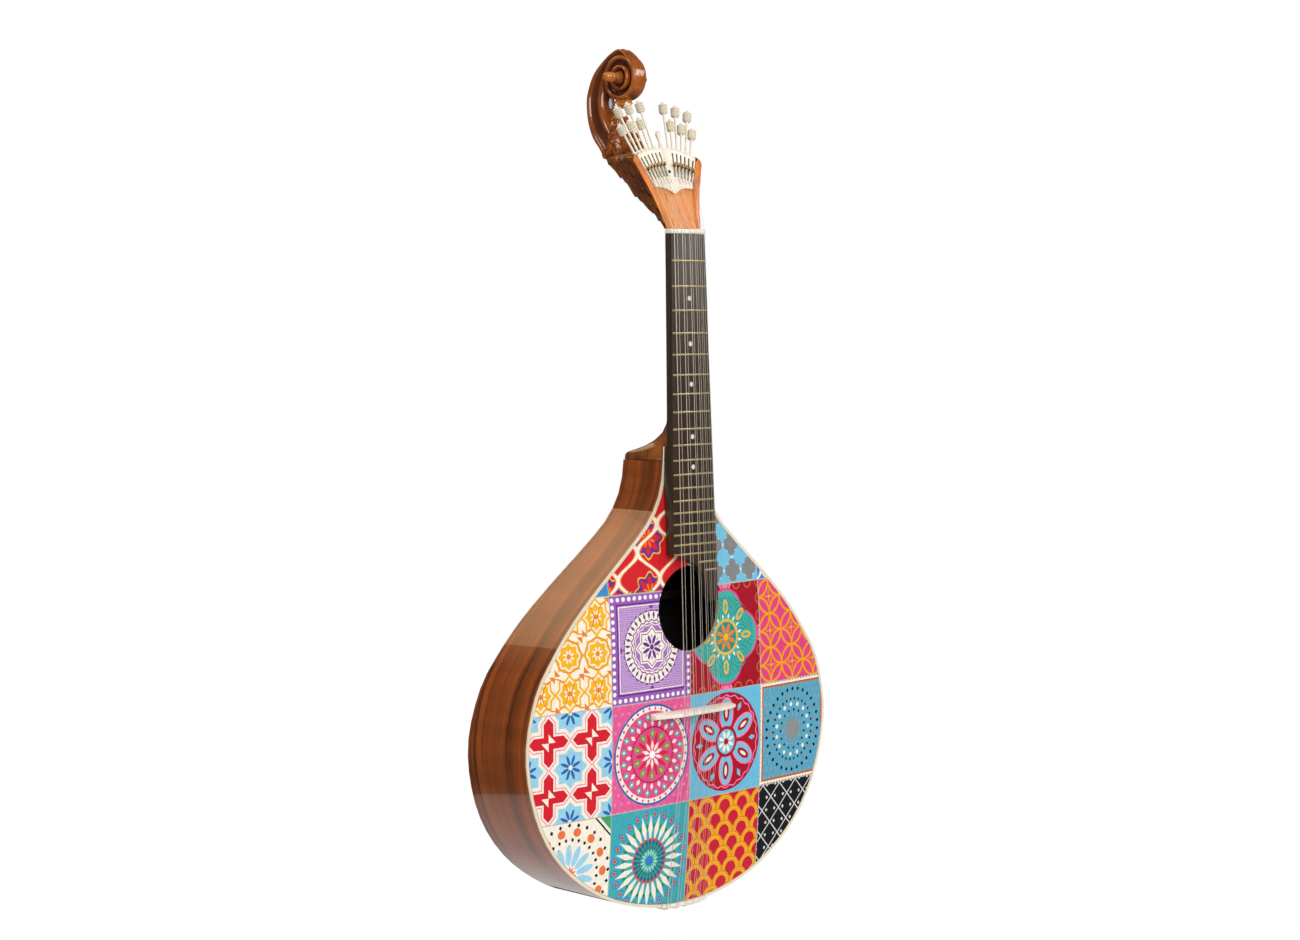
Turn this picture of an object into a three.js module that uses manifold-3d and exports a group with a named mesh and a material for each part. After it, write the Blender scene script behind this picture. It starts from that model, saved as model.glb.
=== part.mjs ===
// A pear-shaped twelve-string guitar with a fan tuning machine and a carved scroll head.
// It stands upright: the front faces -Y, the neck rises along +Z and X runs across the strings.
// The origin is the hanging point, on the neck's centre line where the head begins to flare.
import * as THREE from 'three';
import { mergeVertices } from 'three/addons/utils/BufferGeometryUtils.js';
import Module from 'manifold-3d';

const wasm = await Module();
wasm.setup();

// Driving dimensions, in millimetres
const scaleLength = 445;
const nutLine = 629.5;
const seatGap = 0.3;
// Faceted arched faces that lie on each other keep this gap
const domeGap = 0.7;
const rimGap = 0.9;

// Body: heights are measured up from the tail, depths back from the soundboard's rim
const bodyLength = 433;
const bodyHalfWidth = 198;
const bodyDepth = 82;
const heelDrop = 14;
const heelBase = bodyLength - heelDrop;
const archHeight = 9;
const backArch = 8;
const topThickness = 3;
const backThickness = 3;
const rimThickness = 2.2;
const bindingWidth = 2.8;
const bindingDepth = 1.4;
const soundholeRadius = 40;
const soundholeHeight = 281;
const liningWidth = 7;
const liningDepth = 9;
const neckBlockHeight = 55;
const tailBlockHeight = 30;
const tailBlockHalfWidth = 36;
const braceWidth = 8;
const braceDepth = 14;
const braceEndInset = 21;
const braceTaperShare = 0.75;

// Half outline of the body as shares of bodyHalfWidth and bodyLength, from the tail to the neck
const outlineShares = [
  [0.26, 0.0118], [0.53, 0.053], [0.78, 0.134], [0.935, 0.24], [1, 0.375], [0.945, 0.497],
  [0.835, 0.577], [0.705, 0.647], [0.542, 0.716], [0.365, 0.785], [0.231, 0.843],
  [0.159, 0.9], [0.138, 0.95], [0.1313, 1],
];
// Depth of the sides and rise of the arched plates, as shares along the body's length
const depthShares = [[0, 0.975], [0.12, 0.99], [0.25, 1], [0.42, 0.955], [0.58, 0.87],
  [0.72, 0.76], [0.84, 0.68], [1, 0.65]];
const archShares = [[0, 0], [0.1, 0.45], [0.25, 0.85], [0.42, 1], [0.6, 0.9], [0.75, 0.68],
  [0.87, 0.42], [1, 0.25]];
const topBraceShares = [0.775, 0.53, 0.25];
const backBraceShares = [0.66, 0.3];

// Neck and fingerboard
const neckTilt = THREE.MathUtils.degToRad(1.94);
const boardFrontAtNut = -4.8;
const boardThickness = 7.6;
const boardHalfAtNut = 21.95;
const boardHalfAtLastFret = 28.6;
const fretCount = 21;
const fretWidth = 1.8;
const fretRise = 1.1;
const fretSink = 0.6;
const fretEndInset = 0.4;
const notchFret = 19;
const notchStep = 0.8;
const tongueEnd = 287.5;
const neckThickness = 14.5;
const neckInset = 0.3;
const nutThickness = 4.8;
const nutRise = 1.6;
const nutOverhang = 0.6;

// Bass edge of the fingerboard's tongue over the soundhole: shares of its length and half width
const tongueShares = [[0, -0.62], [0.18, -0.02], [0.36, 0.31], [0.68, 0.5], [1, 0.67]];
// Half of the neck's section, front to back, as shares of its half width and thickness
const neckSectionShares = [[1, 0], [0.84, 0.25], [0.62, 0.55], [0.34, 0.85], [0.1, 1]];
const heelSectionShares = [[1, 0], [1, 0.5], [1, 0.93], [0.93, 1], [0.2, 1]];
// Heel profile: share of heelRise above heelBase, share of heelDepth, and how square it is
const heelRise = 44;
const heelDepth = 54.5;
const heelShares = [[0, 1, 1], [0.1, 0.985, 1], [0.145, 0.94, 1], [0.18, 0.87, 0.97], [0.23, 0.745, 0.88],
  [0.3, 0.61, 0.72], [0.42, 0.455, 0.5], [0.6, 0.32, 0.25], [0.8, 0.24, 0.08], [1, 0.205, 0]];

// Bridge, tail saddle and tailpiece
const bridgeHalfLength = 53;
const bridgeCrown = -24.2;
const bridgeEndRise = 8;
const bridgeFootWidth = 6.4;
const bridgeTopWidth = 2.6;
const bridgeShoulderShare = 0.5;
const saddleHalfLength = 29.5;
const saddleThickness = 2.2;
const saddleHeight = 2.6;
const saddleOverhang = 0.8;
const saddleEdge = 0.6;
const tailPlateHalfLength = 29;
const tailPlateThickness = 1;
const tailPlateFront = 7;
const tailPlateBack = 22;
const pegRadius = 1.1;
const pegLength = 2.2;
const pegSink = 0.5;

// Strings: twelve in six courses
const nutHalfBand = 20.2;
const bridgeHalfBand = 23.5;
const tailHalfBand = 25;
const pairSpacings = [4.2, 3.6, 2.6, 2.6, 2.3, 2.3];
// Middles of the courses across a half band: they stand closer on the treble side
const courseShares = [-1, -0.434, 0.063, 0.434, 0.726, 1];
const stringRadii = [0.5, 0.36, 0.46, 0.34, 0.42, 0.32, 0.36, 0.3, 0.28, 0.28, 0.26, 0.26];

// Head: its front leans back and its back carries the scroll
const headLean = THREE.MathUtils.degToRad(18.4);
const headFrontAtBase = 0.4;
const headBase = 634.4;
const headTop = 703.4;
const headFrontHalf = 44.6;
const headBackHalf = 18;
const headDepth = 95;
const sideBulge = 1;
const cheekRadius = 96;
const cheekAngle = THREE.MathUtils.degToRad(25);
const ridgeDepth = 11;
const ridgeFoot = 60;
const recessDepth = 2;
const panelLength = 72;
const panelHalf = 39.6;

// Head sections: share of height, front half width, back corner depth and back half width
const headShares = [
  [0, 0.5, 0.088, 1], [0.1, 0.543, 0.125, 1], [0.2, 0.576, 0.195, 1], [0.31, 0.628, 0.32, 1],
  [0.43, 0.693, 0.445, 0.98], [0.55, 0.76, 0.545, 0.95], [0.66, 0.843, 0.64, 0.92],
  [0.78, 0.919, 0.745, 0.9], [0.89, 1, 0.87, 0.88], [0.945, 0.98, 0.91, 0.87], [1, 0.87, 0.95, 0.86],
];
const headCrownShares = [[0, 0.095], [0.3, 0.06], [1, 0.035]];
// Half outline of the sunk front panel: shares of panelHalf and panelLength
const panelShares = [[0.492, -0.2], [0.492, 0], [0.538, 0.21], [0.614, 0.42], [0.69, 0.6], [1, 1], [1.2, 1.46]];

// Fan tuning machine: radii are measured from the fan's centre, below the head's base
const fanCentre = -15;
const fanRadius = 94.5;
const fanHalfAngle = THREE.MathUtils.degToRad(24);
const plateThickness = 1.5;
const plateFootRadius = 59.5;
const plateTip = 34.2;
const plateScallop = 2.6;
const flangeThickness = 3;
const flangeDepth = 9;
const screwsPerSide = 6;
// The screws cross this radius at even angles and lean out a little more than their angle
const screwRadius = 78;
const firstScrewAngle = THREE.MathUtils.degToRad(5.05);
const screwStep = THREE.MathUtils.degToRad(3.44);
const firstScrewLean = THREE.MathUtils.degToRad(8.3);
const leanStep = THREE.MathUtils.degToRad(2.9);
const slotWidth = 2.2;
const slotFoot = 66.3;
const slotTop = 90.2;
const rodDepth = 5;
const pocketDepth = 9;
const pocketFoot = 61.7;
const pocketInnerAngle = THREE.MathUtils.degToRad(2.8);
const pocketOuterAngle = THREE.MathUtils.degToRad(24.1);

// One tuning screw: thread, collar, shank and grooved knob
const threadRadius = 0.9;
const shankRadius = 1.4;
const collarRadius = 2.1;
const collarHeight = 1.6;
const screwFoot = 62;
const longKnobRadius = 137.5;
const shortKnobRadius = 121.3;
const knobRadius = 4;
const knobHeight = 10.4;
const knobGrooves = 3;
const grooveDepth = 0.7;
const knobButtonRadius = 1.6;
const knobButtonHeight = 2.4;

// One travelling hook nut
const hookRest = 77.5;
const nutBlockWidth = 3.2;
const nutBlockLength = 4.5;
const nutBlockHeight = 5.2;
const nutBore = 1.15;
const hookThickness = 1.6;
const hookNeck = 2;
const hookReach = 3.1;
const hookFinger = 2.6;
const hookFingerThickness = 1;

// Turned finial in the middle of the fan
const finialHeight = 18.4;
const finialRadius = 2.6;
const finialProfileShares = [[1, 0], [1, 0.08], [0.55, 0.14], [0.8, 0.22], [0.42, 0.34], [0.5, 0.5],
  [0.85, 0.7], [0.95, 0.82], [0.7, 0.94], [0, 1]];

// Scroll: a stem that climbs from the head's back and rolls forward into a volute with turned eyes
const scrollRise = 102.4;
const scrollReach = 42;
const voluteDepth = 79;
const voluteHeightShare = 0.721;
const stemThickness = 28;
const stemHalfWidth = 15;
// Outer edge of the stem: share of scrollReach behind the volute's centre, share of scrollRise,
// and the stem's thickness and half width there
const stemShares = [
  [0.35, 0, 0.8, 1], [0.505, 0.075, 0.86, 0.95], [0.72, 0.169, 0.9, 0.89], [0.86, 0.265, 0.88, 0.83],
  [0.945, 0.355, 0.84, 0.78], [0.995, 0.452, 0.8, 0.73], [1.01, 0.545, 0.78, 0.69], [0.976, 0.636, 0.75, 0.62],
  [0.89, 0.726, 0.68, 0.58], [0.738, 0.813, 0.55, 0.55], [0.486, 0.898, 0.4, 0.52], [0.29, 0.95, 0.35, 0.5],
  [0.06, 0.982, 0.32, 0.5], [-0.14, 0.942, 0.22, 0.5], [-0.28, 0.89, 0.16, 0.5], [-0.375, 0.841, 0.14, 0.5],
  [-0.45, 0.79, 0.14, 0.5], [-0.49, 0.735, 0.14, 0.5],
];
const stemCrownShare = 0.24;
// Half of the stem's section: share of its thickness in from the outer edge, share of its half width
const fluteShares = [[0, 0.88], [0.1, 1], [0.28, 1], [0.36, 0.82], [0.58, 0.82], [0.66, 0.96],
  [0.86, 0.72], [1, 0.3]];
const voluteRadius = 20.8;
const eyeLength = 27;
const voluteProfileShares = [[0.12, 0.97], [0.22, 0.87], [0.225, 0.76], [0.14, 0.66], [0.215, 0.53],
  [0.2, 0.43], [0.49, 0.335], [0.52, 0.17], [0.86, 0.17], [0.9, 0.28], [0.98, 0.28], [1, 0.2]];
// Carved leaves in front of the stem: three to a tier, each curling forward at its tip
const leafTiers = 4;
const leafReach = 30;
const leafRise = 13;
const leafHalfWidth = 11;
const leafThickness = 3;
const leafStep = 10;
const leafTaperShare = 0.2;
const sideLeafShare = 0.62;
const leafTurn = THREE.MathUtils.degToRad(46);
const leafAxisDepth = 95;
// One leaf, root to tip: shares of its reach, rise, half width and thickness
const leafShares = [[0.1, -0.2, 0.8, 1], [0.5, 0.16, 1, 1], [0.82, 0.6, 0.86, 0.8], [1, 0.95, 0.5, 0.7],
  [1.06, 0.8, 0.12, 0.4]];
const leafRibShare = 0.45;

// Facets
const bodyRows = 40;
const liningRows = 25;
const plateColumns = 6;
const braceSteps = 8;
const holeSides = 40;
const arcSteps = 8;
const scrollSections = 22;
const turnedSides = 13;
const smallSides = 7;

// Materials
const finish = (color, roughness, metalness = 0) => new THREE.MeshStandardMaterial({ color, roughness, metalness });
const finishes = {
  paintedTop: () => finish('#d9a8b4', 0.25),
  cream: () => finish('#efe6cf', 0.4),
  walnut: () => finish('#6b3a1c', 0.2),
  paleWood: () => finish('#d9b78a', 0.6),
  ebony: () => finish('#2a211d', 0.4),
  headWood: () => finish('#b5622c', 0.3),
  scrollWood: () => finish('#7a3a1a', 0.22),
  nickel: () => finish('#e4dac4', 0.3, 0.9),
  brass: () => finish('#b08a4a', 0.3, 1),
  steel: () => finish('#b9b2a6', 0.3, 1),
};

// A closed geometry with shared corners, no collapsed faces and its faces pointing out
function tidy(geometry) {
  const bare = new THREE.BufferGeometry();
  bare.setAttribute('position', geometry.getAttribute('position').clone());
  if (geometry.index) bare.setIndex(geometry.index.clone());
  const merged = mergeVertices(bare, 1e-4);
  const corners = merged.getAttribute('position');
  const faces = [];
  let volume = 0;
  const [a, b, c] = [new THREE.Vector3(), new THREE.Vector3(), new THREE.Vector3()];
  for (let i = 0; i < merged.index.count; i += 3) {
    const face = [merged.index.getX(i), merged.index.getX(i + 1), merged.index.getX(i + 2)];
    if (new Set(face).size < 3) continue;
    a.fromBufferAttribute(corners, face[0]);
    b.fromBufferAttribute(corners, face[1]);
    c.fromBufferAttribute(corners, face[2]);
    volume += a.dot(b.cross(c));
    faces.push(face);
  }
  merged.setIndex(faces.flatMap((face) => (volume < 0 ? face.reverse() : face)));
  return merged;
}

function toSolid(geometry) {
  const closed = tidy(geometry);
  const vertProperties = new Float32Array(closed.getAttribute('position').array);
  const triVerts = new Uint32Array(closed.index.array);
  return new wasm.Manifold(new wasm.Mesh({ numProp: 3, vertProperties, triVerts }));
}

function toGeometry(solid) {
  const mesh = solid.getMesh();
  const geometry = new THREE.BufferGeometry();
  geometry.setAttribute('position', new THREE.BufferAttribute(new Float32Array(mesh.vertProperties), 3));
  geometry.setIndex(new THREE.BufferAttribute(new Uint32Array(mesh.triVerts), 1));
  return geometry;
}

const join = (parts) => parts.map(toSolid).reduce((whole, part) => whole.add(part));
const cut = (solid, tools) => tools.map(toSolid).reduce((rest, tool) => rest.subtract(tool), solid);

// A skin over a row of sections with equal corners, capped at both ends unless it closes in a ring
function loft(sections, ring = false) {
  const size = sections[0].length;
  const faces = [];
  const last = ring ? sections.length : sections.length - 1;
  for (let s = 0; s < last; s += 1) {
    const here = s * size;
    const next = ((s + 1) % sections.length) * size;
    for (let i = 0; i < size; i += 1) {
      const j = (i + 1) % size;
      faces.push(here + i, here + j, next + j, here + i, next + j, next + i);
    }
  }
  for (let i = 0; !ring && i < size / 2 - 1; i += 1) {
    const j = size - 1 - i;
    const end = last * size;
    faces.push(i, j, j - 1, i, j - 1, i + 1);
    faces.push(end + i, end + i + 1, end + j - 1, end + i, end + j - 1, end + j);
  }
  const geometry = new THREE.BufferGeometry();
  const numbers = sections.flat().flatMap((corner) => [corner.x, corner.y, corner.z]);
  geometry.setAttribute('position', new THREE.Float32BufferAttribute(numbers, 3));
  geometry.setIndex(faces);
  return tidy(geometry);
}

// A smooth curve through [place, value] rows, read at one place
function readTable(rows, place) {
  const last = rows.length - 1;
  const found = rows.findIndex((row) => row[0] > place);
  const i = Math.min(Math.max((found < 0 ? last : found) - 1, 0), last - 1);
  const slope = (j) => {
    const [low, high] = [rows[Math.max(j - 1, 0)], rows[Math.min(j + 1, last)]];
    return (high[1] - low[1]) / (high[0] - low[0]);
  };
  const span = rows[i + 1][0] - rows[i][0];
  const t = Math.min(Math.max((place - rows[i][0]) / span, 0), 1);
  const rise = rows[i + 1][1] - rows[i][1];
  const [start, end] = [slope(i) * span, slope(i + 1) * span];
  return rows[i][1] + t * start + t * t * (3 * rise - 2 * start - end) + t ** 3 * (start + end - 2 * rise);
}

// Body outline: place 0 is the middle of the tail, place 1 the neck end on the treble side
const outlineCorners = outlineShares.map(([x, z]) => new THREE.Vector2(x * bodyHalfWidth, z * bodyLength));
const outline = new THREE.SplineCurve([
  ...outlineCorners.map((corner) => new THREE.Vector2(-corner.x, corner.y)).reverse(),
  new THREE.Vector2(0, 0),
  ...outlineCorners,
]);

function edgePoint(place, inset) {
  const t = 0.5 + place / 2;
  const point = outline.getPointAt(t);
  const along = outline.getTangentAt(t);
  const x = place === 0 ? 0 : point.x - along.y * inset;
  return new THREE.Vector2(x, point.y + along.x * inset);
}

function placeAtHeight(height, inset) {
  let [low, high] = [0, 1];
  for (let i = 0; i < 40; i += 1) {
    const middle = (low + high) / 2;
    if (edgePoint(middle, inset).y < height) low = middle;
    else high = middle;
  }
  return (low + high) / 2;
}

const halfWidthAt = (height, inset) => edgePoint(placeAtHeight(height, inset), inset).x;
const depthAt = (height) => bodyDepth * readTable(depthShares, height / bodyLength);
const domeAt = (height) => readTable(archShares, Math.max(height, 0) / bodyLength);
const boardInset = bindingWidth + seatGap;

// Front of the arched soundboard, and the inner face of the back
function topFront(x, height) {
  const across = Math.min(Math.abs(x) / halfWidthAt(height, boardInset), 1);
  return -archHeight * domeAt(height) * (1 - across ** 2);
}
const topBack = (x, height) => topFront(x, height) + topThickness;
function backInside(x, height) {
  const across = Math.min(Math.abs(x) / halfWidthAt(height, 0), 1);
  return depthAt(height) - backThickness + backArch * domeAt(height) * (1 - across ** 2);
}

// Rows of edge points from one place to another
function edgeRows(inset, from, to, rows = bodyRows) {
  return Array.from({ length: rows + 1 }, (_, i) => edgePoint(from + ((to - from) * i) / rows, inset));
}

// A plate that spans the body between two skins, row by row up its outline
function plate(rows, columns, frontAt, backAt) {
  return loft(rows.map(({ x: half, y: height }) => {
    const steps = Array.from({ length: columns + 1 }, (_, i) => half * ((2 * i) / columns - 1));
    const front = steps.map((x) => new THREE.Vector3(x, frontAt(x, height), height));
    const back = steps.map((x) => new THREE.Vector3(x, backAt(x, height), height)).reverse();
    return [...front, ...back];
  }));
}

// A strip that follows the outline between two insets and two depths
function edgeStrip(outer, inner, frontAt, backAt, places, side = 1) {
  return loft(places.map((place) => {
    const [out, into] = [edgePoint(Math.abs(place), outer), edgePoint(Math.abs(place), inner)];
    const hand = place < 0 ? -side : side;
    return [
      new THREE.Vector3(out.x * hand, frontAt(out.y), out.y),
      new THREE.Vector3(out.x * hand, backAt(out.y), out.y),
      new THREE.Vector3(into.x * hand, backAt(into.y), into.y),
      new THREE.Vector3(into.x * hand, frontAt(into.y), into.y),
    ];
  }));
}

const spread = (from, to, steps) => Array.from({ length: steps + 1 }, (_, i) => from + ((to - from) * i) / steps);

// Rows of the outline between two places: the sides, the back and the binding share them
function sharedPlaces(from, to) {
  return [from, ...spread(0, 1, bodyRows).filter((place) => place > from && place < to), to];
}

function soundboard() {
  const board = plate(edgeRows(boardInset, 0, 1), plateColumns, topFront, topBack);
  const hole = new THREE.CylinderGeometry(soundholeRadius, soundholeRadius, bodyDepth, holeSides);
  hole.translate(0, 0, soundholeHeight);
  return toGeometry(cut(toSolid(board), [hole]));
}

function backPlate() {
  const rows = sharedPlaces(0, placeAtHeight(heelBase, 0)).map((place) => edgePoint(place, 0));
  return plate(rows, plateColumns, backInside, (x, height) => backInside(x, height) + backThickness);
}

function rim(side) {
  const start = seatGap / bodyHalfWidth;
  const places = sharedPlaces(start, placeAtHeight(heelBase, 0));
  const back = (height) => depthAt(height) - backThickness - seatGap;
  return edgeStrip(0, rimThickness, () => bindingDepth + seatGap, back, places, side);
}

function topBinding() {
  return edgeStrip(0, bindingWidth, () => 0, () => bindingDepth, spread(-1, 1, 2 * bodyRows));
}

// Linings run as one horseshoe inside the rims, from one side of the neck block to the other
function lining(front, back) {
  const inset = rimThickness + rimGap;
  const end = placeAtHeight(heelBase - neckBlockHeight - seatGap, inset);
  return edgeStrip(inset, inset + liningWidth, front, back, spread(-end, end, 2 * liningRows));
}

function neckBlock() {
  const inset = rimThickness + seatGap;
  const [low, high] = [heelBase - neckBlockHeight, heelBase].map((height) => placeAtHeight(height, inset));
  const front = (x, height) => topBack(x, height) + domeGap;
  return plate(edgeRows(inset, low, high, 5), 4, front, (x, height) => backInside(x, height) - domeGap);
}

// The tail block stands between the two linings
function tailBlock() {
  const inset = rimThickness + rimGap;
  const rows = edgeRows(inset, 0, placeAtHeight(tailBlockHeight, inset), 8)
    .map((point) => new THREE.Vector2(Math.min(point.x, tailBlockHalfWidth), point.y));
  const front = topThickness + liningDepth + 2 * seatGap;
  const back = (x, height) => depthAt(height) - backThickness - liningDepth - 2 * seatGap;
  return plate(rows, 4, () => front, back);
}

// A brace across the body, tapered at its ends, standing on the surface given by seatAt
function brace(height, inset, seatAt, rise) {
  const half = halfWidthAt(height, inset) - braceEndInset;
  const [low, high] = [height - braceWidth / 2, height + braceWidth / 2];
  return loft(spread(-1, 1, braceSteps).map((share) => {
    const x = share * half;
    const top = rise * (1 - braceTaperShare * share ** 4);
    return [
      new THREE.Vector3(x, seatAt(x, low), low),
      new THREE.Vector3(x, seatAt(x, high), high),
      new THREE.Vector3(x, seatAt(x, high) + top, high),
      new THREE.Vector3(x, seatAt(x, low) + top, low),
    ];
  }));
}

// Fingerboard surfaces and widths at a height
const fretHeight = (fret) => nutLine - scaleLength * (1 - 2 ** (-fret / 12));
// The board steps in on the bass side just below this fret
const notchHeight = fretHeight(notchFret) - fretWidth / 2;
const boardFront = (height) => boardFrontAtNut - (nutLine - height) * Math.tan(neckTilt);
const boardBack = (height) => boardFront(height) + boardThickness;
function boardHalf(height) {
  const share = (nutLine - height) / (nutLine - fretHeight(fretCount));
  return boardHalfAtNut + (boardHalfAtLastFret - boardHalfAtNut) * share;
}
function boardBassEdge(height) {
  if (height >= notchHeight) return -boardHalf(height);
  const share = (notchHeight - notchStep - height) / (notchHeight - notchStep - tongueEnd);
  return boardHalf(height) * readTable(tongueShares, Math.max(share, 0));
}

function fingerboard() {
  const bodyTop = bodyLength + seatGap;
  const heights = [nutLine - seatGap, bodyTop, ...spread(bodyLength, notchHeight, 5),
    ...spread(notchHeight - notchStep, tongueEnd, 8)];
  const board = loft(heights.map((height) => {
    const steps = spread(boardBassEdge(height), boardHalf(height), 6);
    const under = (x) => (height >= bodyTop ? boardBack(height) : topFront(x, height) - domeGap);
    const front = steps.map((x) => new THREE.Vector3(x, boardFront(height), height));
    return [...front, ...steps.map((x) => new THREE.Vector3(x, under(x), height)).reverse()];
  }));
  const frets = spread(1, fretCount, fretCount - 1).map((number) => {
    const height = fretHeight(number);
    const front = boardFront(height);
    const ends = [boardBassEdge(height) + fretEndInset, boardHalf(height) - fretEndInset];
    return loft(ends.map((x) => [
      new THREE.Vector3(x, front + fretSink, height - fretWidth / 2),
      new THREE.Vector3(x, front - fretRise / 2, height - fretWidth / 2),
      new THREE.Vector3(x, front - fretRise, height - fretWidth / 6),
      new THREE.Vector3(x, front - fretRise, height + fretWidth / 6),
      new THREE.Vector3(x, front - fretRise / 2, height + fretWidth / 2),
      new THREE.Vector3(x, front + fretSink, height + fretWidth / 2),
    ]));
  });
  return toGeometry(join([board, ...frets]));
}

// A closed section from a half list of [across, back] shares
function neckSection(shares, half, front, back, height) {
  const right = shares.map(([x, y]) => new THREE.Vector3(x * half, front + (back - front) * y, height));
  return [...right, ...right.map((corner) => corner.clone().setX(-corner.x)).reverse()];
}

const nutTop = nutLine + nutThickness;
const neckFront = (height) => boardBack(height) + seatGap;

function neck() {
  const sections = [];
  for (const height of spread(nutTop, heelBase + heelRise, 4)) {
    const half = boardHalf(Math.min(height, nutLine)) - neckInset;
    sections.push(neckSection(neckSectionShares, half, neckFront(height), neckFront(height) + neckThickness, height));
  }
  for (const [rise, depth, square] of [...heelShares].reverse().slice(1)) {
    const height = heelBase + seatGap + heelRise * rise;
    const half = boardHalf(height) - neckInset;
    const shares = neckSectionShares.map(([x, y], i) => [
      x + (heelSectionShares[i][0] - x) * square, y + (heelSectionShares[i][1] - y) * square,
    ]);
    sections.push(neckSection(shares, half, neckFront(height), depth * heelDepth, height));
  }
  // The soundboard's end lies on the heel, in this step
  const step = new THREE.BoxGeometry(2 * bodyHalfWidth, bodyDepth, bodyLength);
  step.translate(0, topThickness + seatGap - bodyDepth / 2, bodyLength / 2 + seatGap);
  return toGeometry(cut(toSolid(loft(sections)), [step]));
}

function stringNut() {
  const low = nutLine;
  const [front, back] = [boardFrontAtNut - nutRise, neckFront(nutTop) - seatGap];
  const half = boardHalfAtNut + nutOverhang;
  return loft([-half, half].map((x) => [
    new THREE.Vector3(x, back, low),
    new THREE.Vector3(x, front + nutRise / 4, low),
    new THREE.Vector3(x, front, low + nutThickness / 4),
    new THREE.Vector3(x, front, low + nutThickness / 2),
    new THREE.Vector3(x, front + nutRise / 2, low + nutThickness - seatGap),
    new THREE.Vector3(x, back, low + nutThickness - seatGap),
  ]));
}

// The bridge stands on the soundboard at the end of the scale, low at its ends
const bridgeHeight = nutLine - scaleLength;
const bridgeFoot = (x, height) => topFront(x, height) - domeGap;
function bridge() {
  return loft(spread(-1, 1, 12).map((share) => {
    const x = share * bridgeHalfLength;
    const fall = Math.max(Math.abs(share) - bridgeShoulderShare, 0) / (1 - bridgeShoulderShare);
    const low = bridgeFoot(x, bridgeHeight) - bridgeEndRise;
    const top = bridgeCrown + (low - bridgeCrown) * fall ** 1.4;
    return [
      new THREE.Vector3(x, bridgeFoot(x, bridgeHeight - bridgeFootWidth / 2), bridgeHeight - bridgeFootWidth / 2),
      new THREE.Vector3(x, top, bridgeHeight - bridgeTopWidth / 2),
      new THREE.Vector3(x, top, bridgeHeight + bridgeTopWidth / 2),
      new THREE.Vector3(x, bridgeFoot(x, bridgeHeight + bridgeFootWidth / 2), bridgeHeight + bridgeFootWidth / 2),
    ];
  }));
}

// Height of the tail's edge at a distance from the middle
function tailEdge(x) {
  let [low, high] = [0, 0.5];
  for (let i = 0; i < 40; i += 1) {
    const middle = (low + high) / 2;
    if (edgePoint(middle, 0).x < Math.abs(x)) low = middle;
    else high = middle;
  }
  return edgePoint(low, 0).y;
}

function tailSaddle() {
  const [front, back] = [-saddleThickness - seatGap, -seatGap];
  return loft(spread(-saddleHalfLength, saddleHalfLength, 8).map((x) => {
    const [low, high] = [tailEdge(x) - saddleOverhang, tailEdge(x) + saddleHeight];
    return [
      new THREE.Vector3(x, back, low),
      new THREE.Vector3(x, front + saddleEdge, low),
      new THREE.Vector3(x, front, low + saddleEdge),
      new THREE.Vector3(x, front, high - saddleEdge),
      new THREE.Vector3(x, front + saddleEdge, high),
      new THREE.Vector3(x, back, high),
    ];
  }));
}

// Where each string stands across the neck, for a half band that holds all courses
function stringPlace(index, halfBand) {
  const course = Math.floor(index / 2);
  const halfPair = pairSpacings[course] / 2;
  return (halfBand - halfPair) * courseShares[course] + (index % 2 ? halfPair : -halfPair);
}
const stringCount = stringRadii.length;
const pegDepth = (tailPlateFront + tailPlateBack) / 2;

function tailpiece() {
  const base = loft(spread(-tailPlateHalfLength, tailPlateHalfLength, 8).map((x) => {
    const top = tailEdge(x) - seatGap;
    return [
      new THREE.Vector3(x, tailPlateFront, top),
      new THREE.Vector3(x, tailPlateBack, top),
      new THREE.Vector3(x, tailPlateBack, top - tailPlateThickness),
      new THREE.Vector3(x, tailPlateFront, top - tailPlateThickness),
    ];
  }));
  const pegs = Array.from({ length: stringCount }, (_, i) => {
    const x = stringPlace(i, tailHalfBand);
    const peg = new THREE.CylinderGeometry(pegRadius, pegRadius, pegLength, 6);
    peg.rotateX(Math.PI / 2);
    const top = tailEdge(x) - seatGap - tailPlateThickness + pegSink;
    return peg.translate(x, pegDepth, top - pegLength / 2);
  });
  return toGeometry(join([base, ...pegs]));
}

// Head: lofted up its height, then given the arched top, the sunk panel and the rods' pockets
const headFrontAt = (height) => headFrontAtBase + (height - headBase) * Math.tan(headLean);

function headBlock() {
  return loft(headShares.map(([rise, frontShare, depthShare, backShare]) => {
    const low = nutTop + seatGap;
    const height = low + (headTop - low) * rise;
    const front = headFrontAt(height);
    const corner = depthShare * headDepth;
    const crown = corner + readTable(headCrownShares, rise) * headDepth;
    const [half, backHalf] = [frontShare * headFrontHalf, backShare * headBackHalf];
    const waist = (half + backHalf) / 2 + sideBulge;
    const right = [
      [half, front], [half - recessDepth / 4, front + recessDepth], [waist, (front + corner) / 2],
      [backHalf, corner], [backHalf / 2, crown],
    ].map(([x, y]) => new THREE.Vector3(x, y, height));
    return [...right, ...right.map((point) => point.clone().setX(-point.x)).reverse()];
  }));
}

// Shapes drawn on the head's front plane, X across and Y up the head, extruded out of it
function headPrism(shape, back, front) {
  const depth = front - back;
  const prism = new THREE.ExtrudeGeometry(shape, { depth, bevelEnabled: false, curveSegments: arcSteps });
  prism.translate(0, 0, back);
  return prism.applyMatrix4(headMatrix);
}
const headMatrix = new THREE.Matrix4()
  .makeRotationX(Math.PI / 2 - headLean)
  .setPosition(0, headFrontAtBase, headBase);

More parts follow.
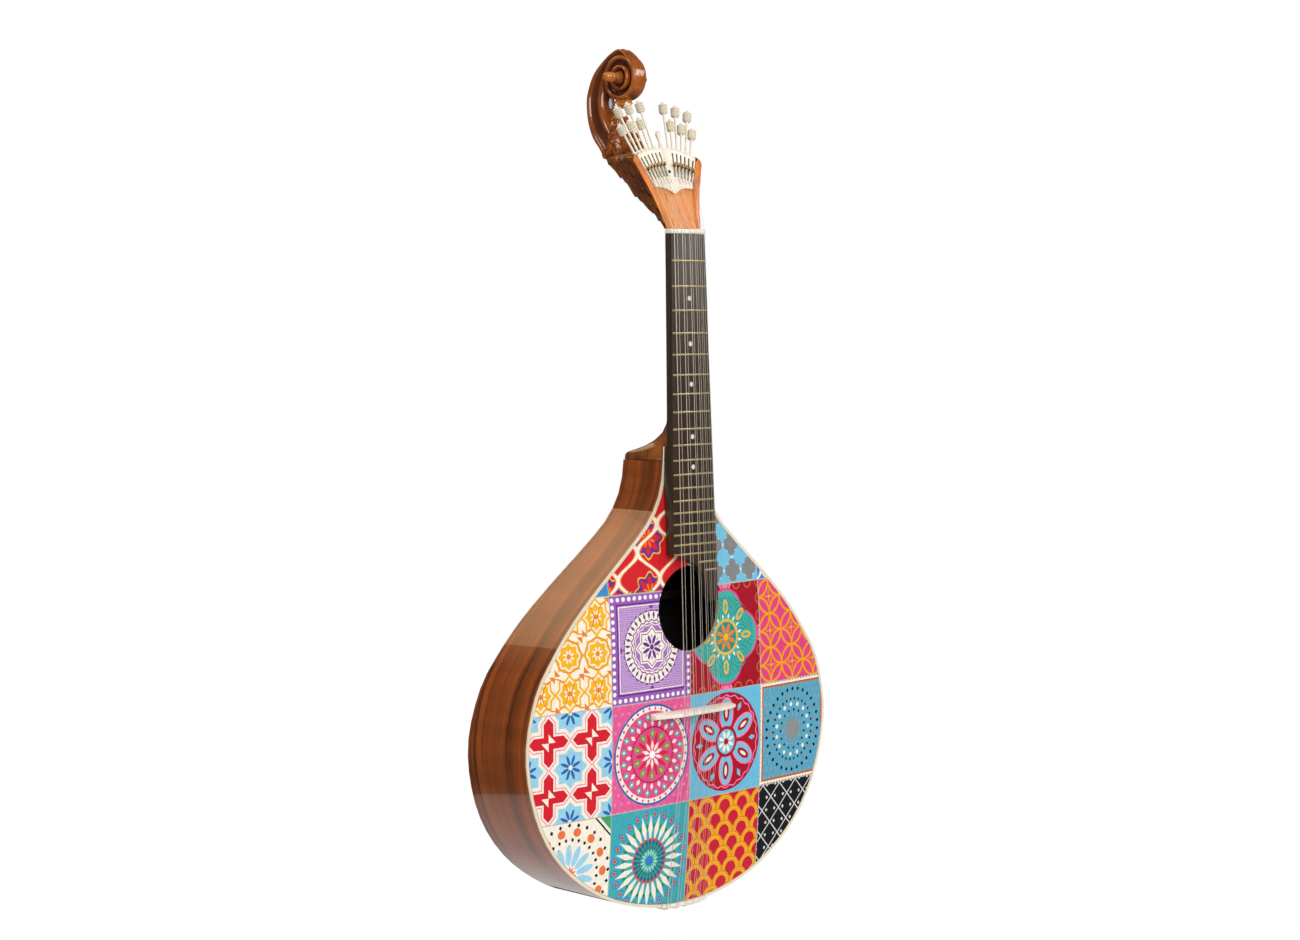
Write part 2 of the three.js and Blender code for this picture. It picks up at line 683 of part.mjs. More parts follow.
// A sector of the fan between two radii and two angles from the upright
function fanSector(inner, outer, from, to) {
  const shape = new THREE.Shape();
  const up = Math.PI / 2;
  shape.absarc(0, fanCentre, outer, up - from, up - to, true);
  shape.absarc(0, fanCentre, inner, up - to, up - from, false);
  shape.closePath();
  return shape;
}

function sunkPanel() {
  const right = panelShares.map(([x, y]) => new THREE.Vector2(x * panelHalf, y * panelLength));
  const left = right.map((point) => new THREE.Vector2(-point.x, point.y)).reverse();
  return new THREE.Shape([...right, ...left]);
}

const seatRadius = fanRadius - flangeThickness - seatGap;
const overrun = 20;

function head() {
  const seatAngle = cheekAngle + seatGap / fanRadius;
  const ridge = headPrism(fanSector(ridgeFoot, cheekRadius, -cheekAngle, cheekAngle), -ridgeDepth, 0);
  const tools = [
    headPrism(sunkPanel(), -recessDepth, overrun),
    headPrism(fanSector(seatRadius, cheekRadius + overrun, -seatAngle, seatAngle), -ridgeDepth - seatGap, overrun),
  ];
  for (const side of [-1, 1]) {
    const angles = [side * pocketInnerAngle, side * pocketOuterAngle].sort((a, b) => a - b);
    tools.push(headPrism(fanSector(pocketFoot, cheekRadius, ...angles), -pocketDepth, overrun));
  }
  return toGeometry(cut(join([headBlock(), ridge]), tools));
}

// Where each screw crosses its radius on the head's front plane, and how it leans, bass side first
const screws = Array.from({ length: 2 * screwsPerSide }, (_, i) => {
  const side = i < screwsPerSide ? -1 : 1;
  const rank = i < screwsPerSide ? screwsPerSide - 1 - i : i - screwsPerSide;
  const angle = firstScrewAngle + screwStep * rank;
  const lean = side * (firstScrewLean + leanStep * rank);
  const place = new THREE.Vector2(side * Math.sin(angle) * screwRadius, fanCentre + Math.cos(angle) * screwRadius);
  return { place, lean, rank };
});

// The plate's lower edge has two scallops that meet in a point
function fanOutline() {
  const shape = new THREE.Shape();
  const up = Math.PI / 2;
  const foot = new THREE.Vector2(
    plateFootRadius * Math.sin(fanHalfAngle), fanCentre + plateFootRadius * Math.cos(fanHalfAngle),
  );
  shape.absarc(0, fanCentre, fanRadius, up - fanHalfAngle, up + fanHalfAngle, false);
  shape.lineTo(-foot.x, foot.y);
  shape.bezierCurveTo(-foot.x * 0.6, foot.y + plateScallop, -foot.x * 0.25, foot.y - plateScallop / 2, 0, plateTip);
  shape.bezierCurveTo(foot.x * 0.25, foot.y - plateScallop / 2, foot.x * 0.6, foot.y + plateScallop, foot.x, foot.y);
  shape.closePath();
  for (const { place, lean } of screws) {
    const along = new THREE.Vector2(Math.sin(lean), Math.cos(lean));
    const across = new THREE.Vector2(along.y, -along.x).multiplyScalar(slotWidth / 2);
    const low = place.clone().addScaledVector(along, slotFoot - screwRadius);
    const high = place.clone().addScaledVector(along, slotTop - screwRadius);
    const corners = [low.clone().sub(across), high.clone().sub(across), high.clone().add(across), low.add(across)];
    shape.holes.push(new THREE.Path(corners));
  }
  return shape;
}

// The fan plate lies in the head's sunk panel, and its flange turns back over the head's top
function fanPlate() {
  const low = -recessDepth + seatGap;
  const front = low + plateThickness;
  const sheet = headPrism(fanOutline(), low, front);
  const flange = headPrism(
    fanSector(fanRadius - flangeThickness, fanRadius, -fanHalfAngle, fanHalfAngle), front - flangeDepth, front,
  );
  const holes = screws.map(({ place, lean }) => {
    const hole = new THREE.CylinderGeometry(nutBore, nutBore, 4 * flangeThickness, smallSides);
    hole.translate(0, fanRadius - flangeThickness / 2 - screwRadius, 0);
    hole.rotateZ(-lean);
    return hole.translate(place.x, place.y, -rodDepth).applyMatrix4(headMatrix);
  });
  return toGeometry(cut(join([sheet, flange]), holes));
}

// A turned screw along Y, about the point where it crosses its radius
function tuningScrew(knobCentre) {
  const collarFoot = fanRadius + seatGap;
  const knobFoot = knobCentre - knobHeight / 2;
  const profile = [
    [0, screwFoot], [threadRadius, screwFoot], [threadRadius, collarFoot], [collarRadius, collarFoot],
    [collarRadius, collarFoot + collarHeight], [shankRadius, collarFoot + collarHeight + grooveDepth],
    [shankRadius, knobFoot],
  ];
  const pitch = knobHeight / (knobGrooves + 1);
  for (let i = 0; i <= knobGrooves; i += 1) {
    const foot = knobFoot + pitch * i;
    profile.push([knobRadius - grooveDepth, foot], [knobRadius, foot + pitch / 2]);
  }
  profile.push([knobRadius - grooveDepth, knobFoot + knobHeight]);
  profile.push([knobButtonRadius, knobFoot + knobHeight + knobButtonHeight / 3]);
  profile.push([knobButtonRadius, knobFoot + knobHeight + knobButtonHeight * 0.7]);
  profile.push([0, knobFoot + knobHeight + knobButtonHeight]);
  const corners = profile.map(([x, y]) => new THREE.Vector2(x, y - screwRadius));
  return tidy(new THREE.LatheGeometry(corners, smallSides));
}

// A nut block that rides on the thread, with a neck through the slot and a finger for the string
function hookNut() {
  const block = new THREE.BoxGeometry(nutBlockWidth, nutBlockLength, nutBlockHeight);
  const bore = new THREE.CylinderGeometry(nutBore, nutBore, 2 * nutBlockLength, smallSides);
  const front = rodDepth + hookReach;
  const root = nutBlockHeight / 2 - pegSink;
  const finger = front - hookFingerThickness;
  const hook = new THREE.ExtrudeGeometry(new THREE.Shape([
    new THREE.Vector2(root, -hookNeck / 2), new THREE.Vector2(front, -hookNeck / 2),
    new THREE.Vector2(front, hookFinger), new THREE.Vector2(finger, hookFinger),
    new THREE.Vector2(finger, hookNeck / 2), new THREE.Vector2(root, hookNeck / 2),
  ]), { depth: hookThickness, bevelEnabled: false });
  hook.translate(0, 0, -hookThickness / 2);
  hook.rotateY(-Math.PI / 2);
  return toGeometry(cut(toSolid(block), [bore]).add(toSolid(hook))).translate(0, hookRest - screwRadius, 0);
}

function centreFinial() {
  const foot = fanRadius + seatGap;
  const corners = finialProfileShares.map(([x, y]) => new THREE.Vector2(x * finialRadius, foot + y * finialHeight));
  return tidy(new THREE.LatheGeometry([new THREE.Vector2(0, foot), ...corners], smallSides));
}

// Scroll: a fluted stem that follows its outer edge, a turned volute with two eye pins and carved leaves
const scrollFoot = headTop + seatGap;

function scrollStem() {
  const toPoint = ([y, z]) => new THREE.Vector3(0, voluteDepth + y * scrollReach, scrollFoot + z * scrollRise);
  const edge = new THREE.CatmullRomCurve3(stemShares.map(toPoint));
  const column = (pick) => stemShares.map((row, i) => [i / (stemShares.length - 1), row[pick]]);
  const [thicknesses, halves] = [column(2), column(3)];
  return loft(spread(0, 1, scrollSections).map((t) => {
    const start = edge.getPoint(t);
    const along = t === 0 ? new THREE.Vector3(0, 0, 1) : edge.getTangent(t);
    const inward = new THREE.Vector3(0, -along.z, along.y);
    const [thickness, half] = [stemThickness * readTable(thicknesses, t), stemHalfWidth * readTable(halves, t)];
    const corner = ([u, x], side) => start.clone().addScaledVector(inward, u * thickness).setX(side * x * half);
    const right = fluteShares.map((share) => corner(share, 1));
    const crown = start.clone().addScaledVector(inward, -stemCrownShare * half);
    const brow = crown.clone().setX(stemCrownShare * half);
    return [brow, ...right, ...fluteShares.map((share) => corner(share, -1)).reverse(), brow.clone().setX(-brow.x)];
  }));
}

function volute() {
  const right = voluteProfileShares.map(([r, x]) => new THREE.Vector2(r * voluteRadius, x * eyeLength));
  const left = right.map((point) => new THREE.Vector2(point.x, -point.y)).reverse();
  const profile = [new THREE.Vector2(0, eyeLength), ...right, ...left, new THREE.Vector2(0, -eyeLength)];
  const turned = tidy(new THREE.LatheGeometry(profile, turnedSides));
  turned.rotateZ(Math.PI / 2);
  return turned.translate(0, voluteDepth, scrollFoot + voluteHeightShare * scrollRise);
}

// A leaf with a raised rib, standing on the stem at a tier; the leaves beside it are turned and shorter
function leaf(tier, turn) {
  const shrink = 1 - leafTaperShare * tier;
  const size = turn === 0 ? 1 : sideLeafShare;
  const reach = leafReach * shrink * size;
  const blade = loft(leafShares.map(([along, up, width, thick]) => {
    const [y, z] = [-along * reach, up * leafRise * shrink];
    const [half, depth] = [width * leafHalfWidth * shrink * size, thick * leafThickness];
    const rib = half * leafRibShare;
    return [
      new THREE.Vector3(half, y, z), new THREE.Vector3(rib, y - depth / 2, z - depth / 2),
      new THREE.Vector3(0, y - depth, z - depth), new THREE.Vector3(-rib, y - depth / 2, z - depth / 2),
      new THREE.Vector3(-half, y, z), new THREE.Vector3(0, y + depth, z + depth),
    ];
  }));
  blade.rotateZ(turn);
  return blade.translate(0, leafAxisDepth, scrollFoot + tier * leafStep);
}

function scroll() {
  const leaves = Array.from({ length: leafTiers }, (_, tier) => [-leafTurn, 0, leafTurn].map((turn) => leaf(tier, turn)));
  const floor = new THREE.BoxGeometry(2 * bodyHalfWidth, 2 * bodyHalfWidth, scrollRise);
  floor.translate(0, 0, scrollFoot - scrollRise / 2);
  return toGeometry(cut(join([scrollStem(), volute(), ...leaves.flat()]), [floor]));
}

// A string as one tube of six sides through its bearing points
function stringTube(points, radius) {
  const across = new THREE.Vector3(1, 0, 0);
  const sections = points.map((point, i) => {
    const before = point.clone().sub(points[Math.max(i - 1, 0)]).normalize();
    const after = points[Math.min(i + 1, points.length - 1)].clone().sub(point).normalize();
    const along = before.add(after).normalize();
    const up = along.clone().cross(across).normalize();
    const side = up.clone().cross(along);
    return Array.from({ length: 6 }, (_, k) => {
      const turn = (k * Math.PI) / 3;
      return point.clone().addScaledVector(up, radius * Math.cos(turn)).addScaledVector(side, radius * Math.sin(turn));
    });
  });
  return loft(sections);
}

function stringPath(index) {
  const radius = stringRadii[index];
  const lift = seatGap + radius;
  const { place, lean } = screws[index];
  const reach = hookRest - screwRadius - hookNeck / 2 - lift;
  const hook = new THREE.Vector3(place.x + Math.sin(lean) * reach, place.y + Math.cos(lean) * reach, hookReach / 2);
  const [nutX, bridgeX, tailX] = [nutHalfBand, bridgeHalfBand, tailHalfBand].map((band) => stringPlace(index, band));
  const saddleFront = -saddleThickness - seatGap - lift;
  const edge = tailEdge(tailX);
  const pegFace = pegDepth - pegRadius - lift;
  const pegFoot = edge - seatGap - tailPlateThickness - pegLength / 2;
  return [
    hook.applyMatrix4(headMatrix),
    new THREE.Vector3(nutX, boardFrontAtNut - nutRise - lift, nutLine + nutThickness / 2),
    new THREE.Vector3(bridgeX, bridgeCrown - lift, bridgeHeight),
    new THREE.Vector3(tailX, saddleFront, edge + saddleHeight / 2),
    new THREE.Vector3(tailX, saddleFront, edge - saddleOverhang),
    new THREE.Vector3(tailX, -seatGap, Math.min(edge - saddleOverhang - lift, pegFoot)),
    new THREE.Vector3(tailX, pegFace, pegFoot),
  ];
}

function mesh(name, geometry, material) {
  const piece = new THREE.Mesh(geometry, material);
  piece.name = name;
  return piece;
}

// Assembly
const group = new THREE.Group();
const guitar = new THREE.Group();
guitar.position.set(0, -neckFront(headBase), -headBase);
group.add(guitar);

const backFace = (height) => depthAt(height) - backThickness - seatGap;
guitar.add(
  mesh('soundboard', soundboard(), finishes.paintedTop()),
  mesh('back_plate', backPlate(), finishes.walnut()),
  mesh('rim_bass_side', rim(-1), finishes.walnut()),
  mesh('rim_treble_side', rim(1), finishes.walnut()),
  mesh('top_binding', topBinding(), finishes.cream()),
  mesh('top_lining', lining(() => topThickness + seatGap, () => topThickness + seatGap + liningDepth),
    finishes.paleWood()),
  mesh('back_lining', lining((height) => backFace(height) - liningDepth, backFace), finishes.paleWood()),
  mesh('neck_block', neckBlock(), finishes.paleWood()),
  mesh('tail_block', tailBlock(), finishes.paleWood()),
  mesh('neck', neck(), finishes.walnut()),
  mesh('fingerboard', fingerboard(), finishes.ebony()),
  mesh('nut', stringNut(), finishes.cream()),
  mesh('bridge', bridge(), finishes.cream()),
  mesh('tail_saddle', tailSaddle(), finishes.cream()),
  mesh('tailpiece', tailpiece(), finishes.nickel()),
  mesh('head', head(), finishes.headWood()),
  mesh('fan_plate', fanPlate(), finishes.nickel()),
  mesh('scroll', scroll(), finishes.scrollWood()),
);
topBraceShares.forEach((share, i) => {
  const seat = (x, height) => topBack(x, height) + domeGap;
  guitar.add(mesh(`top_brace_${i + 1}`, brace(share * bodyLength, boardInset, seat, braceDepth), finishes.paleWood()));
});
backBraceShares.forEach((share, i) => {
  const seat = (x, height) => backInside(x, height) - domeGap;
  guitar.add(mesh(`back_brace_${i + 1}`, brace(share * bodyLength, 0, seat, -braceDepth), finishes.paleWood()));
});

// The machine's group stands on the head's front plane
const machine = new THREE.Group();
machine.rotation.x = Math.PI / 2 - headLean;
machine.position.set(0, headFrontAtBase, headBase);
guitar.add(machine);
const finial = mesh('centre_finial', centreFinial(), finishes.nickel());
finial.position.set(0, fanCentre, -rodDepth);
machine.add(finial);
screws.forEach(({ place, lean, rank }, i) => {
  const knobCentre = rank % 2 ? shortKnobRadius : longKnobRadius;
  const screw = mesh(`tuning_screw_${i + 1}`, tuningScrew(knobCentre), finishes.nickel());
  const hook = mesh(`hook_nut_${i + 1}`, hookNut(), finishes.brass());
  for (const piece of [screw, hook]) {
    piece.position.set(place.x, place.y, -rodDepth);
    piece.rotation.z = -lean;
  }
  machine.add(screw, hook);
  guitar.add(mesh(`string_${i + 1}`, stringTube(stringPath(i), stringRadii[i]), finishes.steel()));
});

export default group;
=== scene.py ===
import bmesh
import bpy
from math import atan2, cos, exp, floor, hypot, pi, radians, sin, sqrt, tan
from mathutils import Matrix, Vector


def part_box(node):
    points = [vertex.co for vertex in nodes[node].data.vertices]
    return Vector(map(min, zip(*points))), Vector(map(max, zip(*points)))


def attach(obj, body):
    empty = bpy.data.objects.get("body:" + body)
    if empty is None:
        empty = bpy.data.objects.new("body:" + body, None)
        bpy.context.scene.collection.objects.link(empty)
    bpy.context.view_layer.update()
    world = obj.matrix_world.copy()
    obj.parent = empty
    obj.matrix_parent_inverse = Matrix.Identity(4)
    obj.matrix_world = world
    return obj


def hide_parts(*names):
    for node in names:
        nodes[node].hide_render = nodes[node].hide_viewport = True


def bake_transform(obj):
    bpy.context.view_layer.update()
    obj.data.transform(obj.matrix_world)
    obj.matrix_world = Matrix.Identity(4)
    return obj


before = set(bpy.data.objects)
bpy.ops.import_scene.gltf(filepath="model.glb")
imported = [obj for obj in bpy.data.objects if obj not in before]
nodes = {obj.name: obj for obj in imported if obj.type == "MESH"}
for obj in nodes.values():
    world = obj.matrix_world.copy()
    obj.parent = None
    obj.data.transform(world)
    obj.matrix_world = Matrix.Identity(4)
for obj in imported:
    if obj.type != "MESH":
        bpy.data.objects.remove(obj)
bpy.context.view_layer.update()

scene = bpy.context.scene
mm = 0.001

# Camera first: it stands where the photographer did, to the bass side and a little above the middle
photoView = {"place": (-1.6757, -1.6574, -0.0657), "turn": 44.60, "dip": 3.853, "lens": 70.07, "sensor": 36}
cameraData = bpy.data.cameras.new("photoCamera")
cameraData.lens = photoView["lens"]
cameraData.sensor_width = photoView["sensor"]
cameraData.clip_end = 50
camera = bpy.data.objects.new("photoCamera", cameraData)
camera.location = photoView["place"]
camera.rotation_euler = (radians(90 - photoView["dip"]), 0, -radians(photoView["turn"]))
scene.collection.objects.link(camera)
scene.camera = camera
scene.view_settings.view_transform = "Standard"
print("camera set")


# Colours are written as on a paint card, and Blender works in linear light
def linear(hexColour):
    channels = [int(hexColour[i:i + 2], 16) / 255 for i in (0, 2, 4)]
    return [c / 12.92 if c <= 0.04045 else ((c + 0.055) / 1.055) ** 2.4 for c in channels] + [1]


def addNode(tree, kind, links=None, **settings):
    node = tree.nodes.new("ShaderNode" + kind)
    for setting, value in settings.items():
        setattr(node, setting, value)
    for socket, source in (links or {}).items():
        if isinstance(source, bpy.types.Node):
            source = source.outputs[0]
        if isinstance(source, bpy.types.NodeSocket):
            tree.links.new(source, node.inputs[socket])
        else:
            node.inputs[socket].default_value = linear(source) if isinstance(source, str) else source
    return node


# A working is nested tuples: the operation first, then its numbers, sockets or workings
signs = {"+": "ADD", "-": "SUBTRACT", "*": "MULTIPLY", "/": "DIVIDE", "**": "POWER", "<": "LESS_THAN",
         ">": "GREATER_THAN", "abs": "ABSOLUTE", "min": "MINIMUM", "max": "MAXIMUM", "mod": "FLOORED_MODULO"}


def workOut(tree, working):
    if not isinstance(working, tuple):
        return working
    sign, *parts = working
    sockets = {i: workOut(tree, part) for i, part in enumerate(parts)}
    return addNode(tree, "Math", sockets, operation=signs.get(sign, sign))


def newMaterial(name, **surface):
    material = bpy.data.materials.new(name)
    material.use_nodes = True
    tree = material.node_tree
    shader = tree.nodes["Principled BSDF"]
    for socket, value in surface.items():
        shader.inputs[socket.replace("_", " ")].default_value = value
    return material, tree, shader


# A noise's place and scale, for a figure whose waves are so many mm long each way
def stretched(tree, sizes):
    place = addNode(tree, "TexCoord").outputs["Object"]
    waves = [1 / (size * mm) for size in sizes]  # to the metre
    return {"Vector": addNode(tree, "Mapping", {0: place, "Scale": waves}), "Scale": 1}


# Wood: broad tones, thin dark streaks along the grain, a ripple across it and short pores, under lacquer
def lacqueredWood(name, pale, middle, dark, grain, figure, gloss, coat, handCut=0):
    material, tree, shader = newMaterial(name, Roughness=gloss, Coat_Weight=coat, Coat_Roughness=0.02)
    broad = addNode(tree, "TexNoise", {**stretched(tree, grain), "Detail": 3, "Distortion": 0.3})
    tones = addNode(tree, "MapRange", {0: broad, 1: 0.34, 2: 0.66})
    toned = addNode(tree, "Mix", {0: tones, 6: middle, 7: pale}, data_type="RGBA").outputs[2]
    thin = {"Detail": 4, "Roughness": 0.6, "Distortion": 0.2}
    lines = addNode(tree, "TexNoise", {**stretched(tree, [size / 2.6 for size in grain]), **thin})
    streaks = addNode(tree, "MapRange", {0: lines, 1: 0.52, 2: 0.72, 3: 0, 4: 0.85})
    streaked = addNode(tree, "Mix", {0: streaks, 6: toned, 7: dark}, data_type="RGBA").outputs[2]
    pores = addNode(tree, "TexNoise", stretched(tree, [size / 9 for size in grain]))
    porous = addNode(tree, "MapRange", {0: pores, 1: 0.35, 2: 0.7, 3: 1.06, 4: 0.84})
    ripple = addNode(tree, "TexNoise", stretched(tree, figure))
    flame = addNode(tree, "MapRange", {0: ripple, 1: 0.3, 2: 0.7, 3: 0.84, 4: 1.14})
    shade = workOut(tree, ("*", porous, flame))
    finished = addNode(tree, "Mix", {0: 1, 6: streaked, 7: shade}, data_type="RGBA", blend_type="MULTIPLY")
    tree.links.new(finished.outputs[2], shader.inputs["Base Color"])
    height, strength, distance = pores, 0.04, 0.1
    if handCut:  # carved wood keeps shallow gouge marks of about 8 mm
        gouges = addNode(tree, "TexNoise", {**stretched(tree, (7.7, 7.7, 7.7)), "Detail": 1})
        height, strength, distance = workOut(tree, ("+", gouges, ("*", pores, 0.05))), handCut, 1
    bump = addNode(tree, "Bump", {"Height": height, "Strength": strength, "Distance": distance * mm})
    tree.links.new(bump.outputs[0], shader.inputs["Normal"])
    return material


woods = {  # pale, middle and dark tones, grain and ripple in mm, roughness, coat and gouge marks
    # Walnut under polished lacquer: dark streaks run along each part, and the lamps mirror sharply
    "lacqueredWalnutSide": ("A2511D", "773A14", "32190A", (625, 16.7, 625), (41.7, 125, 20), 0.2, 0.8),
    "lacqueredWalnutBack": ("A0541F", "783E16", "351B0A", (16.7, 250, 556), (50, 50, 20), 0.2, 0.8),
    "lacqueredWalnutNeck": ("955420", "6F3D15", "33190B", (20, 20, 417), (50, 50, 20), 0.2, 0.8),
    # Cedar under thin lacquer: an even, warm orange with soft reflections
    "lacqueredCedarHead": ("F79A36", "E68226", "B65616", (11.1, 14.3, 333), (50, 50, 25), 0.42, 0.1),
    "cedarHeadCheek": ("EC8C36", "D67228", "AE541A", (14.3, 14.3, 250), (50, 50, 25), 0.4, 0.1),
    # Hand-carved, stained and varnished: glossy ridges with gouge marks, amber leaves painted paler as light,
    # near black cuts and hollows as painted shade
    "carvedStainedWood": ("B26022", "7E3C13", "361507", (38.5, 38.5, 111), (40, 40, 40), 0.22, 0.8, 0.45),
    # A paler amber copy of the carved wood for the leaves, bud and eye pins: painted light
    "amberPaintedLightCarving": ("E08C3E", "B4601F", "55240C", (16.7, 16.7, 33.3), (40, 40, 40), 0.18, 0.9, 0.3),
    # A darker copy of the scroll's wood for its flute and hollows: painted shade
    "paintedShadeRecess": ("7C3C15", "582A0E", "2A1107", (38.5, 38.5, 111), (40, 40, 40), 0.28, 0.5, 0.4),
    "darkCarvedHeadSide": ("9A5014", "6C360F", "2C1407", (33.3, 33.3, 71.4), (40, 40, 40), 0.34, 0.3),
    # Near black cuts between the head's scales: painted shade
    "paintedShadeCarvedCut": ("5A2B10", "401E0B", "241008", (33.3, 33.3, 71.4), (40, 40, 40), 0.4, 0.1),
}
woods = {name: lacqueredWood(name, *row) for name, row in woods.items()}


# Bone, celluloid, ebony and metal: a little uneven in tone, and metal unevenly dull as well
def mottled(name, pale, dark, gloss, grain=(11.1, 11.1, 71.4), bare=0, detail=3, fine=0.5, bump=(0.04, 0.2)):
    material, tree, shader = newMaterial(name, Metallic=bare, Roughness=gloss)
    clouds = addNode(tree, "TexNoise", {**stretched(tree, grain), "Detail": detail, "Roughness": fine})
    toned = addNode(tree, "Mix", {0: clouds, 6: dark, 7: pale}, data_type="RGBA")
    tree.links.new(toned.outputs[2], shader.inputs["Base Color"])
    if bare:
        dulled = addNode(tree, "MapRange", {0: clouds, 1: 0.3, 2: 0.7, 3: gloss * 0.8, 4: gloss * 1.3})
        tree.links.new(dulled.outputs[0], shader.inputs["Roughness"])
        bump = (0.05, 0.1)
    strength, distance = bump
    relief = addNode(tree, "Bump", {"Height": clouds, "Strength": strength, "Distance": distance * mm})
    tree.links.new(relief.outputs[0], shader.inputs["Normal"])
    return material


# Polished bone and moulded celluloid are smooth cream with soft clouds; planed wood inside stays dull
boneCream = mottled("polishedBone", "FCF6E8", "F0E5CC", 0.3)
bindingCream = mottled("celluloidBinding", "F2E6CF", "E3D2B2", 0.28)
bareSpruce = mottled("planedSpruce", "E2C493", "CDAA74", 0.7)
# Near black spruce and walnut for the inside of the body: painted shade
shadedSpruce = mottled("unlitSpruceBrace", "2A1D12", "1C130C", 0.8)
shadedWalnut = mottled("unlitBareWalnut", "1A100B", "120A07", 0.8)
dotPearl = mottled("inlaidBoneDot", "F4F0E6", "DDD6C8", 0.3)
# Oiled ebony: near black with faint brown pores along the board
ebony = mottled("oiledEbony", "54402F", "1E1511", 0.36, (3.85, 3.85, 111), 0, 4, 0.6, (0.12, 0.1))
# Cast, turned and drawn metal: silvered parts are pale and satin, handled brass is brown and glints
silverPlate = mottled("satinSilveredPlate", "FFF6E6", "EFE4D0", 0.5, (8.33, 8.33, 8.33), 0.35)
# The knobs' groove faces take a darker brown
darkerKnobGroove = mottled("darkerKnobGroove", "94805A", "705E40", 0.5, (2, 2, 2), 0.15)
turnedSilver = mottled("turnedSilveredBrass", "FBF2E0", "EADDC4", 0.36, (2, 2, 2), 0.15)
wornBrass = mottled("wornBrass", "B4925E", "5E4626", 0.35, (1.43, 1.43, 1.43), 1)
fretMetal = mottled("brassFretWire", "F0DDA8", "CDB474", 0.3, (3.33, 1.11, 1.11), 0.7)
plainSteel = mottled("drawnSteelString", "F0E8DA", "CFC6B6", 0.42, (1.11, 1.11, 16.7), 0.4)
darkMetal = mottled("blackenedScrew", "4A4038", "2A241F", 0.4, (1.11, 1.11, 1.11), 1)


# Printed tiles of about 100 mm: a ground under layers of traditional figures, measured in tiles.
# A figure is its kind, its colour, its sizes in this order and how it is laid out. A kind with Line is an
# outline, and its last size is half the line's width. Darts are lozenges, set in a ring as petals are.
figureSizes = {
    "petals": ("count", "size", "long", "wide", "turn"),
    "darts": ("count", "size", "long", "wide", "turn"), "flower": ("count", "size", "wave", "width"),
    "spiral": ("count", "size", "width"), "scales": ("count", "size", "width"),
    "ogee": ("count", "waves", "swing", "width")}
plainSizes = ("size", "width")


